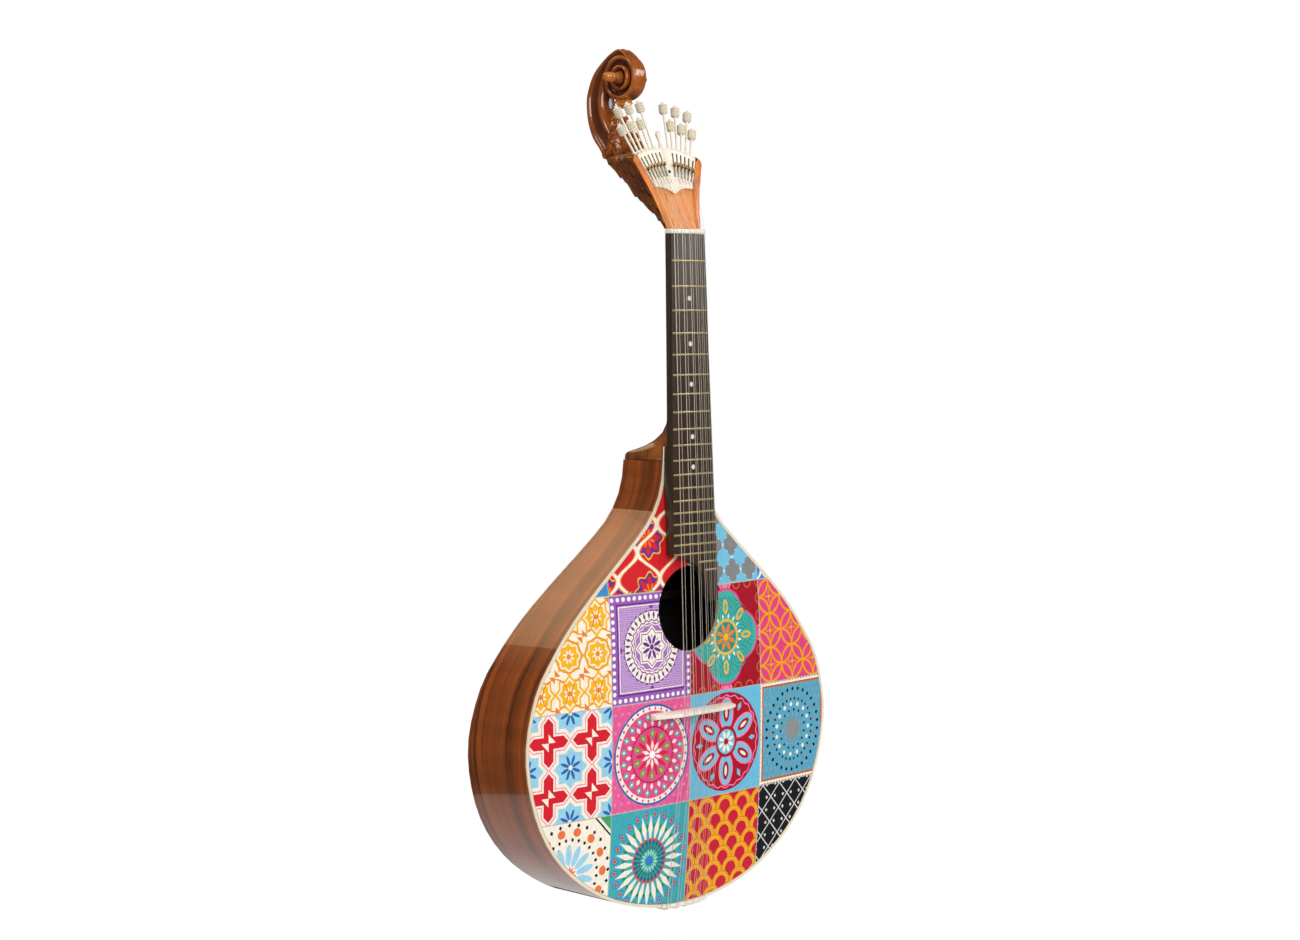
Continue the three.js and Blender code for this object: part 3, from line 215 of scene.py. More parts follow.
# u and v run across and up the tile from its middle, in tiles
def tileFigure(tree, u, v, figure):
    def work(*working):
        return workOut(tree, working)

    name, sizes = figure[0], list(figure[2:])
    drawn = sizes.pop() if isinstance(sizes[-1], dict) else {}
    kind = name.removesuffix("Line")
    own = dict(zip(figureSizes.get(kind, plainSizes), sizes))
    count, size, width = own.get("count", 1), own.get("size"), own.get("width")

    def apart(one, two):
        one, two = workOut(tree, one), workOut(tree, two)
        return work("SQRT", ("+", ("*", one, one), ("*", two, two)))

    whole = apart(u, v) if "belt" in drawn else work("max", ("abs", u), ("abs", v))
    if "cells" in drawn:  # the figure repeats in a grid, every other row moved by half a cell if shifted
        down = work("+", ("*", v, drawn["cells"]), 0.5)
        across = ("+", ("*", u, drawn["cells"]), 0.5)
        if drawn.get("shifted"):
            across = ("+", across, ("*", ("mod", ("FLOOR", down), 2), 0.5))
        u, v = (work("-", ("FRACT", part), 0.5) for part in (across, down))
    if "at" in drawn:  # the figure stands off the middle
        u, v = (work("-", part, place) for part, place in zip((u, v), drawn["at"]))
    reach = apart(u, v)
    turn = work("+", ("ARCTAN2", v, u), radians(own.get("turn", 0)))
    box, slant = ("max", ("abs", u), ("abs", v)), ("+", ("abs", u), ("abs", v))
    plain = {"disc": reach, "square": box, "diamond": slant, "star": ("min", box, ("*", slant, sqrt(0.5)))}
    if kind in plain:
        inside = ("-", plain[kind], size)
    elif kind == "flower":
        edge = ("*", ("+", ("*", ("COSINE", ("*", turn, count)), own["wave"]), 1), size)
        inside = ("-", reach, edge)
    elif kind in ("petals", "darts"):
        step = 2 * pi / count
        fold = work("-", ("mod", turn, step), step / 2)
        out = ("abs", ("/", ("-", ("*", reach, ("COSINE", fold)), size), own["long"]))
        side = ("abs", ("/", ("*", reach, ("SINE", fold)), own["wide"]))
        if kind == "petals":
            out, side = ("**", out, 2), ("**", side, 2)
        inside = ("-", ("+", out, side), 1)
    elif kind == "spiral":  # a curl with this many arms
        arms = ("+", ("/", reach, size), ("*", turn, count / (2 * pi)))
        inside = ("-", ("abs", ("-", ("FRACT", arms), 0.5)), width)
    elif kind == "quatrefoil":
        lobe = size / 2
        one = apart(("-", ("abs", u), lobe), v)
        two = apart(("-", ("abs", v), lobe), u)
        inside = ("-", ("min", one, two), lobe * 1.04)  # the lobes overlap a little
    elif kind == "ogee":  # two families of waved or straight lines that meet and part
        wave = ("SINE", ("*", v, 2 * pi * own["waves"]))
        if drawn.get("straight"):
            rise = ("abs", ("-", ("FRACT", ("*", v, own["waves"])), 0.5))
            wave = ("-", ("*", rise, 4), 1)
        wave = work("*", wave, own["swing"])
        place = work("*", u, count)
        one = ("abs", ("-", ("FRACT", ("+", place, wave)), 0.5))
        two = ("abs", ("-", ("FRACT", ("+", ("-", place, wave), 0.5)), 0.5))
        inside = ("-", ("min", one, two), width)
    elif kind == "circles":  # circles on the cells' middles and corners, which cross each other
        corner = apart(("-", 0.5, ("abs", u)), ("-", 0.5, ("abs", v)))
        one, two = (("abs", ("-", part, size)) for part in (reach, corner))
        inside = ("-", ("min", one, two), width)
    elif kind == "scales":  # rows of overlapping scales, each row moved by half a scale
        rows = work("*", v, 2 * count)
        up = work("*", ("FRACT", rows), 0.5)
        moved = ("*", ("mod", ("FLOOR", rows), 2), 0.5)
        across = work("-", ("FRACT", ("+", ("*", u, count), moved)), 0.5)
        near = apart(across, up)
        far = apart(("-", 0.5, ("abs", across)), ("-", 0.5, up))
        outside = work(">", near, 0.5)
        chosen = ("+", ("*", near, ("-", 1, outside)), ("*", far, outside))
        inside = ("-", ("abs", ("-", chosen, size)), width)
    if name.endswith("Line"):
        inside = ("-", ("abs", inside), width)
    mask = ("<", inside, 0)
    for border in ("band", "belt"):  # the figure shows only in a square or a round border
        if border in drawn:
            low, high = drawn[border]
            mask = ("*", mask, ("*", (">", whole, low), ("<", whole, high)))
    return workOut(tree, mask)


def printedTile(column, row):
    ground, *figures = tiles[column, row]
    material, tree, shader = newMaterial(f"printedTile_{column}_{row}", Roughness=0.34, IOR=1.4)
    place = addNode(tree, "TexCoord").outputs["Object"]
    middle = (grid["acrossMiddles"][column] * mm, 0, grid["upMiddles"][row] * mm)
    centred = addNode(tree, "VectorMath", {0: place, 1: middle}, operation="SUBTRACT")
    # The printed edges waver a little, as hand-painted ones do
    brush = addNode(tree, "TexNoise", {"Vector": place, "Scale": 1 / (grid["strokeSize"] * mm)})
    wobble = addNode(tree, "VectorMath", {0: brush.outputs[1], 1: (0.5, 0.5, 0.5)}, operation="SUBTRACT")
    drawn = addNode(tree, "VectorMath", {0: wobble, "Scale": grid["strokeReach"] * mm}, operation="SCALE")
    moved = addNode(tree, "VectorMath", {0: centred, 1: drawn}, operation="ADD")
    parts = addNode(tree, "SeparateXYZ", {0: moved})
    u, v = (workOut(tree, ("/", parts.outputs[i], grid["width"] * mm)) for i in (0, 2))
    colour = addNode(tree, "Mix", {0: brush, 6: ground[0], 7: ground[1]}, data_type="RGBA").outputs[2]
    for figure in figures:
        mask = tileFigure(tree, u, v, figure)
        colour = addNode(tree, "Mix", {0: mask, 6: colour, 7: figure[1]}, data_type="RGBA").outputs[2]
    strokes = addNode(tree, "TexNoise", {**stretched(tree, (2, 25, 6.25)), "Detail": 3})
    tone = addNode(tree, "MapRange", {0: strokes, 1: 0.3, 2: 0.7, 3: 0.9, 4: 1.06})
    painted = addNode(tree, "Mix", {0: 1, 6: colour, 7: tone}, data_type="RGBA", blend_type="MULTIPLY")
    tree.links.new(painted.outputs[2], shader.inputs["Base Color"])
    return material


grid = {
    "width": 99.4, "acrossSeams": [-98.8, 0, 98.8], "upSeams": [-534.9, -435.4, -334.4], "grout": 0.9,
    "acrossMiddles": [-148, -49.4, 49.4, 148], "upMiddles": [-585, -485, -385, -285], "strokeSize": 3.85,
    "strokeReach": 0.7}
cream, red, crimson, sky, orange, yellow = "FBF0DC", "E01F2C", "B40C26", "74C4E2", "F0851E", "F9B81A"
purple, lilac, pink, rose, teal, green = "6B2F93", "B98ACB", "E8478A", "F286B0", "41B3A8", "3AA566"
black, grey, blue, white = "19181B", "85898C", "2468B4", "FFFDF6"
by2, by3 = {"cells": 2}, {"cells": 3}
tiles = {  # column and row: the ground's two tones, then the figures from the lowest layer up
    (0, 3): (("2F86C8", "3E97D6"), ("ogee", white, 3, 3, 0.22, 0.05)),
    (1, 3): ((red, "D01626"), ("flower", yellow, 8, 0.36, 0.12, by2), ("flower", purple, 8, 0.325, 0.12, by2),
        ("flower", red, 8, 0.24, 0.3, by2), ("petals", orange, 8, 0.12, 0.06, 0.02, by2),
        ("disc", yellow, 0.045, by2), ("ogee", orange, 2, 2, 0.25, 0.07), ("ogee", cream, 2, 2, 0.25, 0.042),
        ("darts", "7BC24A", 4, 0.09, 0.07, 0.035, {"cells": 4, "band": (0.3, 0.5)})),
    (2, 3): ((cream, "F4EAD8"), ("quatrefoil", sky, 0.44, {"cells": 4}),
        *[("quatrefoil", grey, 0.44, {"cells": 4, "at": (x, y)}) for x in (-0.5, 0.5) for y in (-0.5, 0.5)]),
    (3, 3): (("2F86C8", "3E97D6"), ("ogee", white, 3, 3, 0.22, 0.05)),
    (0, 2): ((cream, "FBF3E0"), ("star", yellow, 0.38, by3), ("starLine", cream, 0.29, 0.025, by3),
        ("petals", cream, 8, 0.13, 0.07, 0.03, by3), ("star", orange, 0.06, by3),
        ("discLine", orange, 0.43, 0.018, {"cells": 3, "shifted": True}),
        ("diamond", orange, 0.2, {"cells": 3, "at": (0.5, 0.5)}),
        ("diamond", orange, 0.2, {"cells": 3, "at": (-0.5, -0.5)})),
    (1, 2): ((lilac, "AE7CC4"), ("disc", "D9BFE2", 0.3, {"cells": 48, "shifted": True, "band": (0, 0.38)}),
        ("square", "9C5FB8", 0.5, {"band": (0.42, 0.5)}),
        ("disc", white, 0.3, {"cells": 15, "band": (0.434, 0.5)}), ("squareLine", purple, 0.416, 0.008),
        ("squareLine", cream, 0.395, 0.005), ("petals", purple, 4, 0.46, 0.1, 0.04, 45, {"band": (0, 0.39)}),
        ("flower", purple, 32, 0.345, 0.02), ("disc", cream, 0.335), ("darts", purple, 32, 0.3, 0.04, 0.014),
        ("flowerLine", purple, 24, 0.25, 0.025, 0.006), ("disc", "A973C0", 0.23),
        ("flowerLine", cream, 16, 0.212, 0.03, 0.005), ("star", cream, 0.145),
        ("starLine", purple, 0.125, 0.004), ("petals", purple, 8, 0.075, 0.045, 0.017),
        ("petals", lilac, 8, 0.1, 0.02, 0.008, 22.5), ("disc", purple, 0.026)),
    (2, 2): ((crimson, "A00A22"), ("petals", rose, 4, 0.56, 0.13, 0.1, 45),
        ("discLine", "C8602A", 0.3, 0.05, {"cells": 6, "band": (0.4, 0.5)}), ("quatrefoil", pink, 0.46),
        ("quatrefoil", teal, 0.435), ("spiral", "2B8F8C", 2, 0.17, 0.17, {"cells": 5, "belt": (0.2, 0.39)}),
        ("petals", yellow, 8, 0.29, 0.07, 0.035, 22.5), ("petals", teal, 8, 0.29, 0.042, 0.017, 22.5),
        ("darts", cream, 16, 0.2, 0.03, 0.014), ("discLine", yellow, 0.16, 0.012), ("disc", "2B8F8C", 0.14),
        ("petals", orange, 8, 0.085, 0.048, 0.02), ("disc", yellow, 0.035)),
    (3, 2): ((pink, "E03C7E"), ("circles", orange, 0.5, 0.045, by3), ("circles", yellow, 0.5, 0.012, by3),
        ("petals", orange, 4, 0.12, 0.08, 0.04, 45, by3), ("disc", yellow, 0.045, by3)),
    (0, 1): (("D8122F", red), ("star", cream, 0.39, by2), ("starLine", rose, 0.345, 0.01, by2),
        ("star", "9AD3EA", 0.27, by2), ("petals", blue, 8, 0.14, 0.1, 0.03, by2), ("disc", cream, 0.045, by2),
        ("diamond", cream, 0.16, {"cells": 2, "at": (0.5, 0.5)}),
        ("diamond", cream, 0.16, {"cells": 2, "at": (-0.5, -0.5)})),
    (1, 1): (("EE6FA6", pink), ("disc", rose, 0.2, {"cells": 12, "shifted": True, "band": (0.3, 0.5)}),
        ("disc", blue, 0.475), ("disc", cream, 0.455), ("darts", pink, 36, 0.435, 0.02, 0.016),
        ("disc", pink, 0.41), ("darts", teal, 20, 0.36, 0.042, 0.036),
        ("darts", cream, 20, 0.36, 0.02, 0.014), ("darts", cream, 20, 0.3, 0.035, 0.022, 9),
        ("discLine", crimson, 0.26, 0.006), ("darts", green, 10, 0.2, 0.055, 0.035),
        ("darts", yellow, 10, 0.2, 0.03, 0.014), ("petals", red, 10, 0.15, 0.06, 0.016, 18),
        ("darts", cream, 10, 0.085, 0.055, 0.018), ("disc", white, 0.035)),
    (2, 1): (("64B9DE", sky), ("petals", crimson, 4, 0.6, 0.09, 0.06, 45), ("disc", crimson, 0.475),
        ("flowerLine", rose, 24, 0.44, 0.02, 0.006), ("petals", rose, 6, 0.27, 0.16, 0.1),
        ("petals", sky, 6, 0.27, 0.14, 0.08), ("petals", crimson, 6, 0.28, 0.09, 0.042),
        ("petals", cream, 6, 0.28, 0.05, 0.016), ("darts", sky, 6, 0.37, 0.05, 0.026, 30),
        ("disc", crimson, 0.15), ("disc", sky, 0.118), ("petals", cream, 8, 0.07, 0.035, 0.018),
        ("disc", crimson, 0.03)),
    (3, 1): (("62B0CA", "4F9CBE"), ("disc", "8FA6A4", 0.2, {"cells": 14, "shifted": True}),
        ("discLine", "5AA9C6", 0.32, 0.11), ("darts", black, 30, 0.4, 0.024, 0.02),
        ("petals", "8E9491", 15, 0.35, 0.02, 0.025), ("darts", black, 30, 0.3, 0.018, 0.016, 6),
        ("petals", cream, 15, 0.25, 0.02, 0.02, 12), ("darts", black, 15, 0.19, 0.018, 0.016),
        ("flower", "8E9491", 12, 0.11, 0.15), ("square", cream, 0.5, {"band": (0.465, 0.5)}),
        ("diamond", black, 0.36, {"cells": 22, "band": (0.478, 0.5)}), ("squareLine", "C4622D", 0.458, 0.01)),
    (0, 0): ((cream, "FAF2E2"), ("petals", "9FD6EE", 14, 0.2, 0.1, 0.034),
        ("darts", black, 28, 0.34, 0.022, 0.018), ("petals", "F2773C", 14, 0.41, 0.04, 0.045, 12.9),
        ("darts", black, 28, 0.475, 0.022, 0.02, 6.4), ("flower", "F2773C", 14, 0.08, 0.2),
        ("diamond", green, 0.14, {"at": (0.5, 0.5)}),
        ("diamondLine", black, 0.19, 0.012, {"at": (0.5, 0.5)})),
    (1, 0): (("46B4B8", "35A6B4"), ("petals", "2F8FD0", 24, 0.44, 0.05, 0.03),
        ("darts", orange, 24, 0.44, 0.034, 0.02), ("darts", black, 24, 0.44, 0.016, 0.008),
        ("darts", cream, 24, 0.31, 0.13, 0.029, 7.5), ("darts", "1F8A62", 24, 0.33, 0.035, 0.018),
        ("disc", "D0603A", 0.215), ("flower", "245FA6", 24, 0.195, 0.05),
        ("darts", green, 24, 0.15, 0.045, 0.014), ("disc", "2A9A96", 0.115),
        ("darts", "9ADCC0", 16, 0.08, 0.035, 0.014), ("disc", "2A7FD0", 0.045)),
    (2, 0): (("D81B3C", "C81233"), ("scales", yellow, 4, 0.4, 0.095), ("scales", "C2461E", 4, 0.46, 0.012),
        ("scales", "E0761E", 4, 0.36, 0.012)),
    (3, 0): ((black, "242326"), ("ogee", "D9D9D6", 4, 4, 0.25, 0.035, {"straight": True}),
        ("disc", "D9D9D6", 0.12, {"cells": 8})),
}
tileFinishes = {key: printedTile(*key) for key in tiles}
groutLine = mottled("printedGroutLine", "C9C5BD", "AFA9A0", 0.3)
print("materials made")


# A finished piece: its place is in its mesh, it takes the finishes it is given and rides on its body
def addPiece(name, bm, finishes, slot, replaced=(), body="instrument", crease=38):
    mesh = bpy.data.meshes.new(name)
    bm.to_mesh(mesh)
    bm.free()
    for finish in finishes:
        mesh.materials.append(finish)
    mesh.shade_smooth()
    mesh.set_sharp_from_angle(angle=radians(crease))
    piece = bpy.data.objects.new(name, mesh)
    scene.collection.objects.link(piece)
    if replaced:
        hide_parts(*replaced)
    if body:
        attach(piece, body)
    return piece


def merged(node):
    bm = bmesh.new()
    bm.from_mesh(nodes[node].data)
    bmesh.ops.remove_doubles(bm, verts=bm.verts, dist=0.01 * mm)
    return bm


def bevelled(bm, edges, width, segments=2):
    bmesh.ops.bevel(bm, geom=edges, offset=width * mm, segments=segments, profile=0.5,
                    affect="EDGES", material=-1, clamp_overlap=True)


def softenEdges(bm, width, segments=2, chosen=lambda edge: True):
    bmesh.ops.dissolve_limit(bm, angle_limit=radians(0.6), verts=bm.verts, edges=bm.edges)
    sharp = [e for e in bm.edges if len(e.link_faces) == 2 and e.calc_face_angle() > radians(35)]
    bevelled(bm, [e for e in sharp if chosen(e)], width, segments)


def joinInto(bm, made):
    part = bpy.data.meshes.new("part")
    made.to_mesh(part)
    made.free()
    bm.from_mesh(part)
    bpy.data.meshes.remove(part)


def closeHoles(bm):
    bmesh.ops.holes_fill(bm, edges=[e for e in bm.edges if e.is_boundary], sides=0)


# Corners are tilted about the line across the frame and carried to their place
def standAt(bm, corners, tilt, place):
    bmesh.ops.rotate(bm, matrix=Matrix.Rotation(radians(tilt), 3, "X"), verts=corners)
    bmesh.ops.translate(bm, vec=place, verts=corners)


# A skin over a grid: each corner is placed by how far across and along it stands, both from 0 to 1
def sheet(bm, columns, rows, placeAt=lambda across, along: (across, along, 0)):
    corners = bmesh.ops.create_grid(bm, x_segments=columns, y_segments=rows, size=0.5)["verts"]
    for corner in corners:
        corner.co = placeAt(corner.co.x + 0.5, corner.co.y + 0.5)
    return corners


# A smooth curve through the rows of a table, read at one place
def readTable(rows, place, column):
    last = len(rows) - 1
    i = min(max(sum(row[0] <= place for row in rows) - 1, 0), last - 1)
    low, here, after, high = rows[max(i - 1, 0)], rows[i], rows[i + 1], rows[min(i + 2, last)]
    span = after[0] - here[0]
    t = min(max((place - here[0]) / span, 0), 1)
    rise = after[column] - here[column]
    start = (after[column] - low[column]) / (after[0] - low[0]) * span
    end = (high[column] - here[column]) / (high[0] - here[0]) * span
    return here[column] + t * start + t * t * (3 * rise - 2 * start - end) + t ** 3 * (start + end - 2 * rise)


# Heights from the tail and depths from the soundboard's rim, in mm, to a place in the frame
originDepth, originHeight = 3.266, 634.4


def fromTail(x, back, height):
    return Vector((x, back - originDepth, height - originHeight)) * mm


def spun(bm, profile, steps):
    verts = [bm.verts.new((x * mm, y * mm, 0)) for x, y in profile]
    edges = [bm.edges.new(pair) for pair in zip(verts, verts[1:])]
    bmesh.ops.spin(bm, geom=verts + edges, axis=(0, 1, 0), angle=2 * pi, steps=steps, use_merge=True)
    bmesh.ops.remove_doubles(bm, verts=bm.verts, dist=0.002 * mm)
    bmesh.ops.recalc_face_normals(bm, faces=bm.faces)


# The soundboard, cut along the seams of its printed tiles
bm = merged("soundboard")
keys, half = list(tileFinishes), grid["grout"] / 2
across, up = grid["acrossSeams"], grid["upSeams"]
for seams, axis in ((across, 0), (up, 2)):
    for seam in seams:
        for edge in (seam - half, seam + half):
            place, normal = Vector(), Vector()
            place[axis], normal[axis] = edge * mm, 1
            bmesh.ops.bisect_plane(bm, geom=bm.verts[:] + bm.edges[:] + bm.faces[:], plane_co=place,
                                   plane_no=normal, dist=1e-7)
bm.normal_update()
for face in bm.faces:
    middle = face.calc_center_median() / mm
    column, row = sum(middle.x > seam for seam in across), sum(middle.z > seam for seam in up)
    offSeams = [abs(middle.x - seam) for seam in across] + [abs(middle.z - seam) for seam in up]
    face.material_index = len(keys) if min(offSeams) < half else keys.index((column, row))
    if face.normal.y > -0.5:
        face.material_index = len(keys) + 1
finishes = [*tileFinishes.values(), groutLine, bareSpruce]
addPiece("printedTop", bm, finishes, "painted_top", ["soundboard"], crease=30)

smoothed = {  # CAD node: piece, finish, slot, edge rounding in mm
    "rim_bass_side": ("bassSide", woods["lacqueredWalnutSide"], "walnut", 0),
    "rim_treble_side": ("trebleSide", woods["lacqueredWalnutSide"], "walnut", 0),
    "back_plate": ("archedBack", woods["lacqueredWalnutBack"], "walnut", 0),
    "top_binding": ("topBinding", bindingCream, "cream", 0),
    "neck": ("neckAndHeel", woods["lacqueredWalnutNeck"], "walnut", 0),
    "nut": ("boneNut", boneCream, "cream", 0.5),
    "bridge": ("boneBridge", boneCream, "cream", 0.4),
    "tail_saddle": ("boneTailSaddle", boneCream, "cream", 0.3),
    "tailpiece": ("stringPlate", turnedSilver, "nickel", 0),
    "fan_plate": ("fanPlate", silverPlate, "nickel", 0.15),
    "centre_finial": ("turnedFinial", turnedSilver, "nickel", 0),
}
bodyMiddle = Vector((0, 40, -430)) * mm
for node, (name, finish, slot, rounding) in smoothed.items():
    bm = merged(node)
    if rounding:
        softenEdges(bm, rounding)
    finishes = [finish]
    if slot == "walnut" and node != "neck":  # inside the body the bare wood is painted near black as shade
        finishes.append(shadedWalnut)
        for face in bm.faces:
            face.normal_update()
            inward = face.normal.dot(face.calc_center_median() - bodyMiddle) < 0
            if node == "back_plate":
                inward = face.normal.y < -0.5
            face.material_index = int(inward)
    addPiece(name, bm, finishes, slot, [node])
# Linings, blocks and braces inside take the near black spruce, painted shade
for node in nodes:
    if node.split("_")[-1] == "lining" or "block" in node or "brace" in node:
        nodes[node].data.materials.clear()
        nodes[node].data.materials.append(shadedSpruce)
print("body made")

# The head: orange front with paler cheeks, dark sides cut in overlapping scales
head = {
    "low": 634.6, "top": 703.4, "frontAtBase": 0.4, "lean": 18.4, "frontHalf": 44.6,
    "backHalf": 18, "depth": 95, "edge": 0.5, "cheekDepth": 2.4, "frontDepth": 0.6, "bevelDepth": 3,
    "facing": 0.4, "backs": (0.02, 2), "rises": (0.02, 0.99)}
shingle = {
    "width": 13, "step": 14, "overlap": 1.45, "relief": 3, "paintedShadeBelow": 0.85, "firstRow": 3, "skin": 0.12,
    "tipFrom": 0.45, "root": 0.2, "rim": 0.35, "vein": 0.12, "veinWidth": 0.07, "endFade": 12,
    "frontFade": 30}
headRows = [  # share of height; shares of front half width, back corner depth, back half width and crown
    (0, 0.5, 0.088, 1, 0.095), (0.1, 0.543, 0.125, 1, 0.083), (0.2, 0.576, 0.195, 1, 0.07),
    (0.31, 0.628, 0.32, 1, 0.06), (0.43, 0.693, 0.445, 0.98, 0.055), (0.55, 0.76, 0.545, 0.95, 0.05),
    (0.66, 0.843, 0.64, 0.92, 0.046), (0.78, 0.919, 0.745, 0.9, 0.042), (0.89, 1, 0.87, 0.88, 0.038),
    (0.945, 0.98, 0.91, 0.87, 0.036), (1, 0.87, 0.95, 0.86, 0.035)]


def headSide(side, back, rise):
    height = head["low"] + (head["top"] - head["low"]) * rise
    slope = tan(radians(head["lean"]))
    front = head["frontAtBase"] + (height - originHeight) * slope
    half = readTable(headRows, rise, 1) * head["frontHalf"]
    corner = readTable(headRows, rise, 2) * head["depth"]
    backHalf = readTable(headRows, rise, 3) * head["backHalf"]
    if back > 1:  # round the back corner to the middle of the crown
        crown = readTable(headRows, rise, 4) * head["depth"]
        depth = corner + crown * sin((back - 1) * pi / 2)
        return fromTail(side * backHalf * (2 - back), depth, height)
    x = half + (backHalf - half) * back + 4 * back * (1 - back)  # 1 mm fuller in the middle of the side
    return fromTail(side * x, front + (corner - front) * back, height)


# How far a scale stands out at a place, for rows that overlap downwards like shingles
def scaleRelief(across, down):
    row = floor(down / shingle["step"])
    for upper in (row - 1, row):
        share = (down / shingle["step"] - upper) / shingle["overlap"]
        place = across / shingle["width"] + 0.5 * (upper % 2)
        aside = abs(place - floor(place) - 0.5)
        tip = max(share - shingle["tipFrom"], 0) / (1 - shingle["tipFrom"])
        half = 0.5 * sqrt(max(1 - tip * tip, 0))
        if aside < half:
            dome = sqrt(1 - (aside / half) ** 2)
            vein = shingle["vein"] * exp(-((aside / shingle["veinWidth"]) ** 2))
            root, rim = shingle["root"], shingle["rim"]
            return shingle["relief"] * ((root + (1 - root) * share) * (rim + (1 - rim) * dome) - vein)
    return 0


def carvedSide(side):
    bm = bmesh.new()

    def placeAt(across, along):
        (front, last), (low, high) = head["backs"], head["rises"]
        back, rise = front + (last - front) * across, low + (high - low) * along
        point = headSide(side, back, rise)
        over = headSide(side, back + 0.02, rise) - headSide(side, back - 0.02, rise)
        up = headSide(side, back, rise + 0.01) - headSide(side, back, rise - 0.01)
        outward = over.cross(up).normalized() * side
        fromTop = (headSide(side, min(back, 1), rise) - headSide(side, 1, 1)) / mm
        slope = (headSide(side, 1, 0) - headSide(side, 1, 1)).yz.normalized()
        down = fromTop.yz.dot(slope)
        aside = abs(fromTop.yz.cross(slope)) - max(back - 1, 0) * head["backHalf"]
        fade = min(1, shingle["endFade"] * min(along, 1 - along), shingle["frontFade"] * across)
        relief = scaleRelief(aside, down + shingle["firstRow"])
        return point + outward * (shingle["skin"] + relief * fade) * mm, relief

    cuts = {}
    for corner in sheet(bm, 110, 120):
        corner.co, cuts[corner] = placeAt(corner.co.x, corner.co.y)
    for face in bm.faces:  # the cuts between the scales are painted darker as shade
        relief = sum(cuts[corner] for corner in face.verts) / len(face.verts)
        face.material_index = int(relief < shingle["paintedShadeBelow"])
    if side < 0:
        bmesh.ops.reverse_faces(bm, faces=bm.faces)
    addPiece("carvedHeadSideTreble" if side > 0 else "carvedHeadSideBass", bm,
             [woods["darkCarvedHeadSide"], woods["paintedShadeCarvedCut"]], "head_wood", crease=180)


lean = radians(head["lean"])
frontNormal = Vector((0, -cos(lean), sin(lean)))
frontPlace = fromTail(0, head["frontAtBase"], originHeight)


def sunk(place):
    return (frontPlace - place).dot(frontNormal) / mm


bm = merged("head")
softenEdges(bm, head["edge"], chosen=lambda e: sunk((e.verts[0].co + e.verts[1].co) / 2) < head["bevelDepth"])
bm.normal_update()
for face in bm.faces:
    depth = sunk(face.calc_center_median())
    face.material_index = 2
    if depth < head["cheekDepth"]:
        onFront = depth > head["frontDepth"] and face.normal.dot(frontNormal) > head["facing"]
        face.material_index = 0 if onFront else 1
addPiece("flaredHead", bm,
         [woods["lacqueredCedarHead"], woods["cedarHeadCheek"], woods["darkCarvedHeadSide"]], "head_wood",
         ["head"])
carvedSide(-1)
carvedSide(1)

# The scroll: a fluted stem that rolls into a turned volute with an eye pin on each side, and carved leaves
scroll = {
    "foot": 703.7, "rise": 102.4, "reach": 42, "centre": 79, "eyeShare": 0.721, "steps": 56, "thickness": 28,
    "halfWidth": 15, "sunk": 2, "footShare": 0.02, "ribShare": 0.2, "hollow": 1.3, "ribFrom": 0.35,
    "ribFull": 0.55, "fluteShares": (0.44, 0.72)}
stemRows = [  # outer edge behind and above, then the stem's thickness and half width, as shares
    (0.35, 0, 0.8, 1), (0.505, 0.075, 0.86, 0.95), (0.72, 0.169, 0.9, 0.89), (0.86, 0.265, 0.88, 0.83),
    (0.945, 0.355, 0.84, 0.78), (0.995, 0.452, 0.8, 0.73), (1.01, 0.545, 0.78, 0.69),
    (0.976, 0.636, 0.75, 0.62), (0.89, 0.726, 0.68, 0.58), (0.738, 0.813, 0.55, 0.55),
    (0.486, 0.898, 0.4, 0.52), (0.29, 0.95, 0.35, 0.5), (0.06, 0.982, 0.32, 0.5), (-0.14, 0.942, 0.22, 0.5),
    (-0.28, 0.89, 0.16, 0.5), (-0.375, 0.841, 0.14, 0.5), (-0.45, 0.79, 0.14, 0.5), (-0.49, 0.735, 0.14, 0.5)]
stemRows = [(i / (len(stemRows) - 1), *row) for i, row in enumerate(stemRows)]
stemProfile = [  # from the crown round one side to the inner edge: share of thickness, share of half width
    (0, -0.1, 0), (0.1, -0.085, 0.45), (0.18, -0.04, 0.8), (0.25, 0.03, 0.98), (0.31, 0.1, 1.03),
    (0.37, 0.17, 0.97), (0.41, 0.2, 0.84), (0.45, 0.22, 0.8), (0.5, 0.32, 0.7), (0.58, 0.46, 0.67),
    (0.66, 0.6, 0.74), (0.71, 0.67, 0.84), (0.74, 0.69, 0.93), (0.8, 0.76, 1), (0.87, 0.85, 0.9),
    (0.93, 0.94, 0.6), (1, 0.98, 0)]
volutePaintedShadeAndLight = [  # from and to radius, from and to distance from the middle, finish: darker hollow rings are painted shade, the amber eye pin painted light
    (12.4, 17, 0, 7, 1), (6.2, 9, 0, 8, 1), (0, 5.3, 12, 30, 2)]
voluteProfile = [  # radius and distance from the middle
    (20.6, 6.6), (20.9, 7.6), (20.3, 8.5), (19.2, 8.8), (18, 8.5), (17.2, 7.6), (16.8, 5), (16, 3.4),
    (14.6, 3), (12.9, 3.4), (12.2, 5), (11.9, 7.8), (11.2, 9), (10.1, 9.2), (9.3, 8.2), (8.8, 6), (7.9, 5),
    (6.8, 5.6), (5.9, 7.6), (5.2, 10), (4.4, 12.4), (3.5, 14), (3.2, 15.2), (3.7, 15.9), (4.5, 16.2),
    (4.8, 17), (4.5, 17.8), (4, 18.2), (4.5, 19.2), (4.8, 21), (4.7, 23), (4.1, 25), (2.9, 26.4), (1.4, 26.9),
    (0, 27)]


def stemPoint(along):
    back = scroll["centre"] + readTable(stemRows, along, 1) * scroll["reach"]
    return Vector((0, back, scroll["foot"] + readTable(stemRows, along, 2) * scroll["rise"]))


